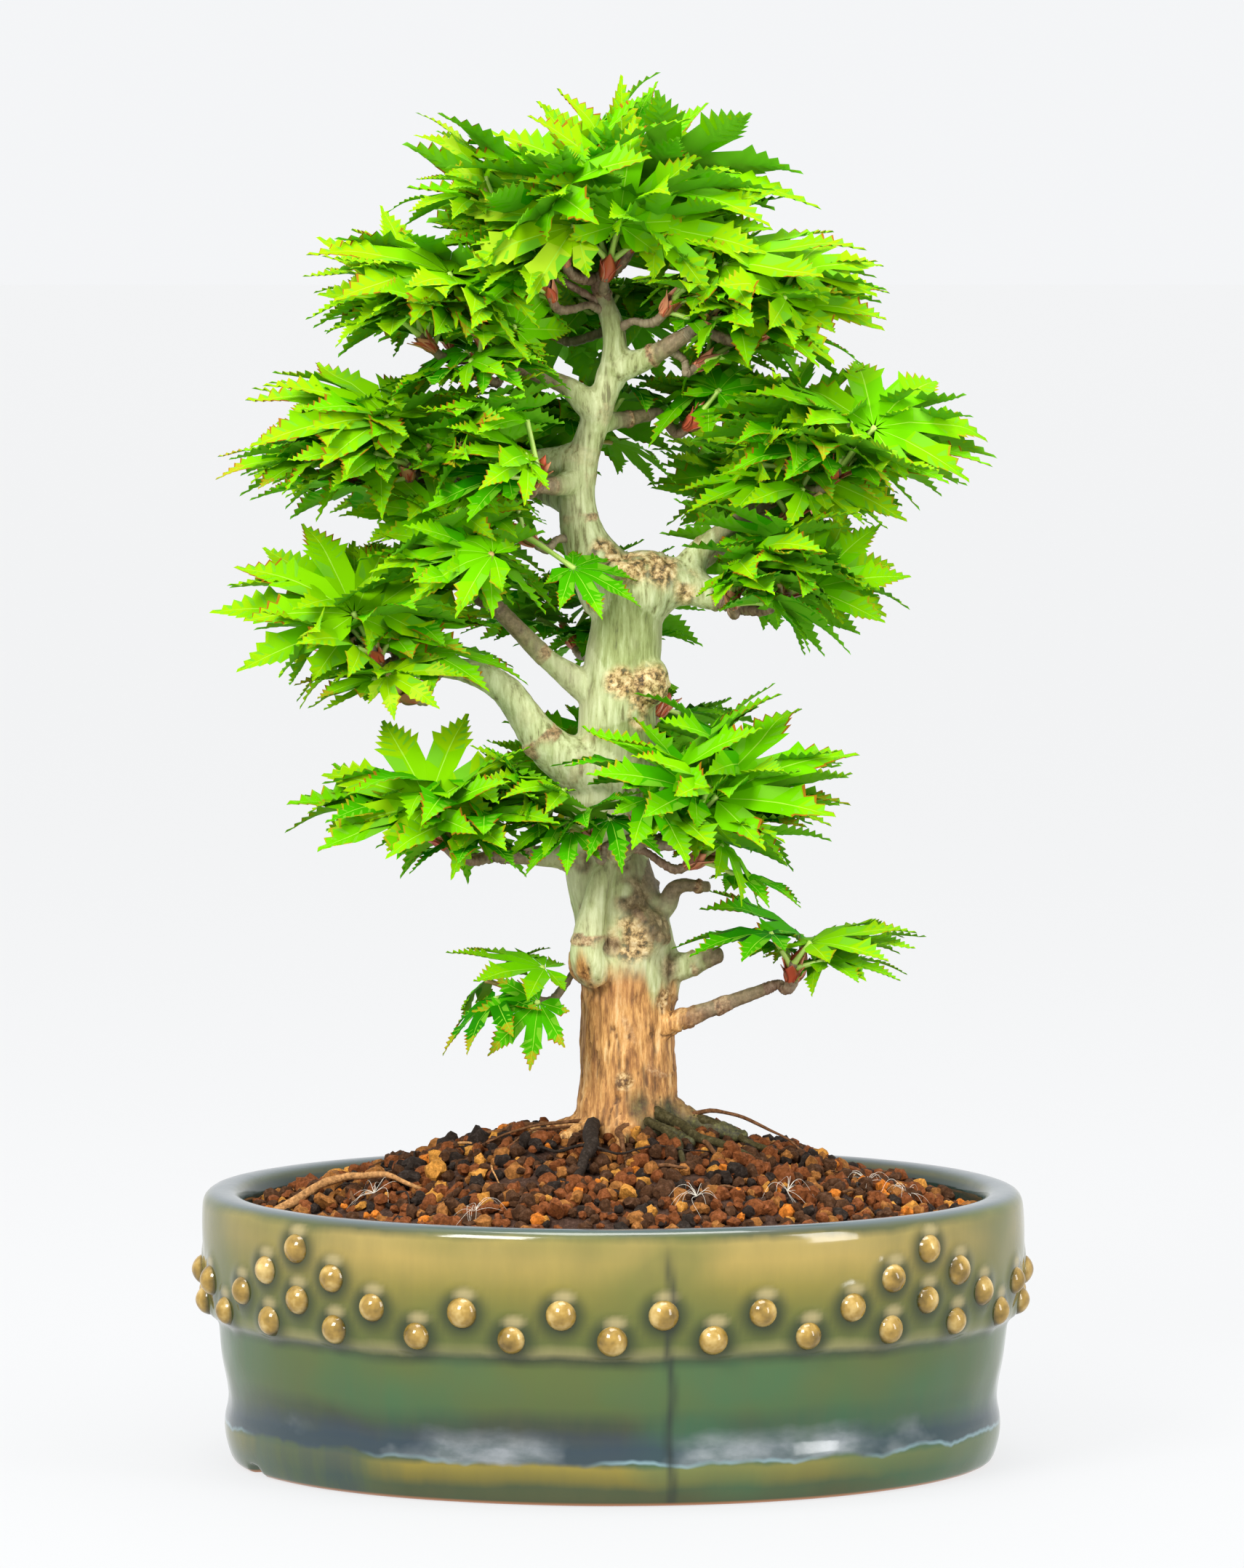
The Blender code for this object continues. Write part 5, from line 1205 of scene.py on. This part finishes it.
# points on the unit leaf that stand for its whole blade when its room is tested
sampleAngle = np.radians([0, 0, 0, 39, 39, -39, -39, 78, 78, -78, -78, 119, -119, 0])
sampleReach = np.array([1.0, 0.66, 0.33, 0.93, 0.5, 0.93, 0.5, 0.74, 0.4, 0.74, 0.4, 0.44, 0.44, 0.0])


def bladeSamples(base, direction, normal, size, droop):
    # sample points of whole blades: fanned out in each blade's plane, and falling with the square of their reach
    side = np.cross(normal, direction)
    flat = direction[:, None] * np.cos(sampleAngle)[None, :, None] + side[:, None] * np.sin(sampleAngle)[None, :, None]
    scaled = flat * sampleReach[None, :, None] - normal[:, None] * (droop[:, None] * sampleReach[None] ** 2)[..., None]
    return base[:, None] + scaled * size[:, None, None]


def leafChoices(seed, space, tip, axis, order, share):
    # ways for one leaf to grow: two leaves face each other and each pair is turned a quarter from the pair above; the
    # blade heads out and down from its stalk, and is bent back and shortened till it keeps to its mass's space
    count = growth["tries"]
    pair, loose = order // 2, np.linspace(0.4, 2.6, count)
    around = np.pi * (order % 2) + np.pi / 2 * pair + seed.uniform(-0.5, 0.5, count) * loose
    lean = np.radians(16 + 66 * share + seed.uniform(-12, 12, count) * loose)
    first = squareTo(axis, anySide)
    away = turned(np.tile(first, (count, 1)), axis, around)
    root = tip - axis * (growth["pairStep"] * pair + 0.0008)
    stalk = unit(axis * np.cos(lean)[:, None] + away * np.sin(lean)[:, None])
    base = root + stalk * seed.uniform(*growth["petiole"], count)[:, None]
    size = leaf["length"] * seed.uniform(0.80, 1.16, count) * min(1.05, (space[1].mean() / growth["fullSize"]) ** 0.7)
    middle = np.column_stack([np.full(count, space[0][0]), np.full(count, space[0][1]), base[:, 2]])
    hang = np.column_stack([np.zeros(count), np.zeros(count), 0.08 - 1.15 * share * seed.random(count)])
    scatter = seed.uniform(-0.25, 0.25, (count, 3)) * loose[:, None]
    direction = unit(stalk * 0.25 + unit(base - middle) * 0.35 + away * 0.60 + hang + scatter)
    face = stalk * 0.5 + np.array([0, 0, 0.9])
    roll, droop = seed.uniform(-0.30, 0.30, count), seed.uniform(0.20, 0.48, count)
    for turn in range(growth["bends"] + 1):
        normal = turned(squareTo(direction, face), direction, roll)
        samples = bladeSamples(base, direction, normal, size, droop)
        over, out = wayOut(space, samples)
        if turn < growth["bends"]:
            bad = over > growth["loose"]
            direction = np.where(bad[:, None], unit(direction - out * 0.07), direction)
            base = np.where(bad[:, None], base * 0.93 + (root + stalk * 0.005) * 0.07, base)
            size = np.where(bad, size * 0.982, size)
    return root, stalk, base, direction, normal, size, droop, samples, over


def woodSamples():
    # points along the trunk, the limbs and the lumps, each with its radius
    lines = [trunkLine(90)] + [smoothLine(limb, 12) for limb in limbs.values()]
    lumps = np.array([[*middle, max(half) * 0.9] for middle, half in wood["lumps"]]) * mm
    return np.concatenate(lines + [lumps])


def shownLeaves(mass, tip, axis):
    # the leaves that the photo shows most clearly, their stalks fanned out from one bud
    leaves = []
    for base, direction, face, size, droop, share in growth["shown"].get(mass, []):
        base, direction = np.array(base) * mm, unit(np.array(direction))
        normal = squareTo(direction, np.array(face))
        root = tip - axis * 0.0008
        leaves.append((root, unit(base - root), base, direction, normal, size * mm, droop, share))
    return leaves


def bareGap(points):
    # in the front view, how far points lie from the open sky and, where they are in front, from the bare wood, in mm
    x, z = points[:, :1] / mm, points[:, 2:] / mm
    bare, sky = ((np.hypot(x - rows[:, 0], z - rows[:, 1]) - rows[:, 2]).min(1) for rows in (bareRows, skyRows))
    return np.minimum(np.where(points[:, 1] < 0.004, bare, 20), sky)


def woodGap(samples, rows):
    # how far each way's blade, but for its foot, lies from wood given as spots and radii
    return (np.linalg.norm(samples[:, :, None] - rows[:, :3], axis=-1) - rows[:, 3]).min(2)[:, :-1].min(1)


def growLeaves():
    # leaf by leaf, the way that keeps furthest from the wood and from the leaves already there is taken
    solid = woodSamples()
    grown, twigs, buds = {}, [], []
    taken = {}
    order = {"sprig_top": sprigs["sprig_top"], **masses, **sprigs}
    for mass, (_, centre, _, budCount, leafCount, seedNumber) in order.items():
        space = ownSpace(mass)
        massLines, massBuds = massTwigs(mass)
        seed = np.random.default_rng(seedNumber + 1000)
        nearby = [
            rows for other, rows in taken.items()
            if np.linalg.norm(np.subtract(massOf(other)[1], centre)) < growth["massReach"]
        ]
        others = np.concatenate(nearby) if nearby else np.zeros((0, 3))
        near = solid[np.linalg.norm(solid[:, :3] - np.array(centre) * mm, axis=1) < growth["woodReach"]]
        others = others[np.linalg.norm(others - np.array(centre) * mm, axis=1) < growth["leafReach"]]
        twigPoints = np.concatenate(massLines)
        leaves = shownLeaves(mass, *massBuds[0])
        mine = np.zeros((0, 3))
        if leaves:
            mine = bladeSamples(*(np.array([item[k] for item in leaves]) for k in range(2, 7))).reshape(-1, 3)
        for number in range(leafCount):
            level, index = divmod(number, budCount)
            share = number / leafCount
            *way, samples, over = leafChoices(seed, space, *massBuds[index], level, share)
            flat, size = samples.reshape(-1, 3), way[5]
            gap = np.full(len(flat), 0.02)
            if len(others) + len(mine):
                known = np.concatenate([others, mine])
                gap = np.sqrt(((flat[:, None] - known[None]) ** 2).sum(-1)).min(1)
            gap = gap.reshape(samples.shape[:2])
            score = np.minimum(gap[:, :-1].min(1), 0.006) * 2 + np.minimum(gap.mean(1), 0.012) + size * 0.20
            score = score - np.clip(over, 0, 1) * 0.5
            bare = bareGap(flat).reshape(samples.shape[:2])[:, :-1].min(1)
            tight = (woodGap(samples, near) < growth["woodGap"]) | (woodGap(samples, twigPoints) < growth["twigGap"])
            score = np.where((bare < 0) | (over > growth["loose"] + 0.0004) | tight, -1, score)
            best = int(score.argmax())
            if score[best] >= growth["leastScore"]:
                # the bud's own spot is one for all ways, the rest of a way is one row each
                leaves.append((way[0], *(rows[best] for rows in way[1:]), share))
                mine = np.concatenate([mine, samples[best]])
        taken[mass] = mine
        grown[mass] = leaves
        twigs += massLines
        buds += massBuds
        print(f"{mass}: {len(leaves)} of {leafCount} leaves")
    return grown, twigs, buds


def bentLeaves(template, base, direction, normal, size, droop, seed):
    # every leaf's points at once: the template's blade falls away with the square of the reach, is bowed about its
    # midrib, twisted, and crinkled by three slow waves that differ from leaf to leaf
    x, y, z = template.T[:, None, :]
    reach = np.sqrt(x ** 2 + y ** 2)
    count = len(base)
    bow, twist = seed.uniform(-0.10, 0.30, (count, 1)), seed.uniform(-0.25, 0.25, (count, 1))
    waves = 0
    for _ in range(3):
        depth = seed.uniform(0.006, 0.018, (count, 1))
        slope = x * seed.uniform(4, 13, (count, 1)) + y * seed.uniform(-13, 13, (count, 1))
        waves = waves + depth * np.sin(slope + seed.uniform(0, 6.3, (count, 1)))
    curl = seed.uniform(0.0, 0.30, (count, 1))
    z = z - droop[:, None] * reach ** 2 - bow * y ** 2 + twist * x * y + waves * reach
    z = z - curl * np.clip(reach - 0.6, 0, 1) ** 2
    x = x * (1 - 0.10 * droop[:, None] * reach) + 0 * z
    side = np.cross(normal, direction)
    local = x[..., None] * direction[:, None] + (y + 0 * z)[..., None] * side[:, None] + z[..., None] * normal[:, None]
    return base[:, None] + local * size[:, None, None]


def makeLeaves(grown):
    # one piece for each mass: every leaf is one of three blades, bent, with tones by its age and by painted light and
    # shade at its place
    finishes = leafFinishes()
    templates = [leafTemplate(7, 7), leafTemplate(7, 6), leafTemplate(5, 7)]
    for mass, leaves in grown.items():
        seed = np.random.default_rng(massOf(mass)[5] + 500)
        kinds = seed.choice(3, len(leaves), p=[0.45, 0.35, 0.20])
        parts, tones = [], []
        for kind, (points, quads, tris, quadKind, triKind) in enumerate(templates):
            picked = [item for item, k in zip(leaves, kinds) if k == kind]
            if not picked:
                continue
            columns = [np.array([item[k] for item in picked]) for k in range(2, 8)]
            base, share = columns[0], columns[5]
            placed = bentLeaves(points, *columns[:5], seed)
            shift = (np.arange(len(picked)) * len(points))[:, None, None]
            parts.append((placed.reshape(-1, 3), (quads + shift).reshape(-1, 4), (tris + shift).reshape(-1, 3)))
            # painted light and shade: leaves high up and on the crown's outside are brighter, those inside deeper;
            # older leaves, lower on their bud, are deeper too, partly by age and partly as painted shade
            outer = np.clip(np.linalg.norm(base * [1, 1, 0], axis=1) / 0.07, 0, 1) * 0.8 + (base[:, 2] - 0.12) / 0.28
            level = np.round(1.0 + outer * 1.5 - share * 1.2 + seed.normal(0, 0.8, len(picked)))
            level = np.clip(level, 0, 4).astype(int)
            lot = seed.random(len(picked))
            edge = np.where(lot < 0.45, 8, np.where(lot < 0.75, 9, np.minimum(level + 2, 5)))
            tipTone = np.where(lot < 0.07, 9, np.minimum(level + 1 + (lot > 0.7), 4))
            vein, under = np.full(len(picked), 7), np.full(len(picked), 6)
            tone = np.stack([level, np.minimum(level + (lot > 0.3), 5), edge, vein, under, tipTone], 1)
            tones.append((tone[:, quadKind].ravel(), tone[:, triKind].ravel()))
        if not parts:
            continue
        points, quads, tris = joined(parts)
        faceMaterial = np.concatenate([tone[k] for k in (0, 1) for tone in tones])
        name, stands = ("leaves" + mass[7:], [mass]) if mass in masses else (mass, [])
        makePiece(name, points, [quads, tris], finishes, stands, faceMaterial=faceMaterial, sharp=70)


stalkTones = [("stalkGreen", (0.460, 0.660, 0.120), 0.38), ("stalkFlushed", (0.480, 0.330, 0.100), 0.38)]


def makeStalks(grown):
    # leaf stalks: a tube along a bow from the bud to the blade, wider at both ends
    share = np.linspace(0, 1, 8)
    parts, tones = [], []
    seed = np.random.default_rng(61)
    for leaves in grown.values():
        for root, stalk, base, direction, _, size, _, _ in leaves:
            reach = np.linalg.norm(base - root)
            bend = (root + base) / 2 + (stalk + np.array([0, 0, 0.35])) * reach * 0.10
            end = base + direction * size * 0.02
            t = share[:, None]
            spots = root * (1 - t) ** 2 + bend * 2 * t * (1 - t) + end * t ** 2
            radius = growth["petioleRadius"] * (1.0 + 0.7 * (1 - share) ** 4 + 0.35 * share ** 6)
            parts.append(tubeArrays(np.column_stack([spots, radius]), 6))
            tones.append(int(seed.random() < 0.18))
    points, quads, tris = joined(parts)
    finishes = [plainFinish(*row) for row in stalkTones]
    makePiece("leafStalks", points, [quads, tris], finishes, faceMaterial=partTones(tones, parts))


def twigFinish():
    # brown bark with fine specks and grey patches
    s = Shade("twigBark", 0.65)
    speck = s.noise(700, (1, 1, 0.5), 5, 0.7)
    tone = s.ramp(speck, [(0.30, (0.070, 0.035, 0.020)), (0.50, (0.240, 0.140, 0.080)), (0.70, (0.420, 0.310, 0.200))])
    tone = s.mix(s.steps(s.noise(60), 0.45, 0.65, (0.0, 0.6)), tone, (0.250, 0.240, 0.130))
    return s.finish(tone, None, speck, 0.0003, 0.7)


def makeTwigs(twigs):
    # twigs: tubes along each line, knobbly with a swelling at every node
    parts, at = [], np.linspace(0, 1, 48)
    for index, line in enumerate(twigs):
        fine = np.column_stack([np.interp(at, np.linspace(0, 1, len(line)), line[:, k]) for k in range(4)])
        fine[:, 3] *= 1 + 0.16 * np.cos(at * 2 * np.pi * 7 + index) ** 6 + 0.05 * np.sin(at * 61 + index * 3)
        parts.append(tubeArrays(fine, 10))
    points, quads, tris = joined(parts)
    makePiece("twigs", points, [quads, tris], [twigFinish()])


# the bud scales: how many to a bud, the turn from each to the next, how far their foot lies under the bud's tip, their
# length, how far they open and their widest half as a share of their length, with their tones and each tone's share
bud = {
    "scales": 7, "turn": 2.399, "foot": 0.0062, "length": (0.0055, 0.0095), "opening": (0.10, 0.42), "halfWidth": 0.26,
    "tones": [
        ("scaleRed", (0.600, 0.110, 0.050), 0.30), ("scaleCoral", (0.760, 0.290, 0.150), 0.32),
        ("scaleBrown", (0.300, 0.110, 0.045), 0.45),
    ],
    "shares": (0.45, 0.35, 0.20),
}


def makeBuds(buds):
    # bud scales: pointed shells set round each bud, curling out from their foot: a scale's width swells and falls to
    # its tip along its length, its sides slant back from its middle, and its back lies a little inside
    seed = np.random.default_rng(71)
    rows, columns = 9, 5
    t, v = np.linspace(0, 1, rows), np.linspace(-1, 1, columns)
    width = np.sin(np.pi * (0.12 + 0.88 * t) ** 0.85) * bud["halfWidth"]
    width[-1] = 0.0
    grid = np.arange(rows * columns).reshape(rows, columns)
    under = rows * columns + np.arange(rows)
    quads = np.concatenate([
        gridFaces(rows, columns, False),
        np.stack([grid[:-1, 0], grid[1:, 0], under[1:], under[:-1]], 1),
        np.stack([grid[1:, -1], grid[:-1, -1], under[:-1], under[1:]], 1),
    ])
    cap = np.stack([grid[0, :-1], np.full(columns - 1, under[0]), grid[0, 1:]], 1)
    parts, tones = [], []
    for tip, axis in buds:
        foot = tip - axis * bud["foot"]
        first = squareTo(axis, anySide)
        for number in range(bud["scales"]):
            angle = np.array(number * bud["turn"] + seed.uniform(-0.2, 0.2))
            out = turned(first[None], axis[None], angle[None])[0]
            across = np.cross(axis, out)
            length, opening = seed.uniform(*bud["length"]), seed.uniform(*bud["opening"])
            spine = foot + out * 0.0014 + axis * (t * length)[:, None] + out * (opening * t ** 1.6 * length)[:, None]
            wide = width[:, None] * v[None] * length
            lift = -np.abs(wide) * 0.45
            top = spine[:, None] + across * wide[..., None] + out * lift[..., None]
            parts.append((np.concatenate([top.reshape(-1, 3), spine - out * 0.00035]), quads, cap))
            tones.append(seed.choice(3, p=bud["shares"]))
    points, quads, tris = joined(parts)
    finishes = [plainFinish(*row) for row in bud["tones"]]
    makePiece("budScales", points, [quads, tris], finishes, faceMaterial=partTones(tones, parts))


grown, twigLines, budTips = growLeaves()
makeLeaves(grown)
makeStalks(grown)
makeTwigs(twigLines)
makeBuds(budTips)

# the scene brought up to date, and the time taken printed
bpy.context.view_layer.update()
print("whole scene:", round(time.time() - startedAt, 1), "s")
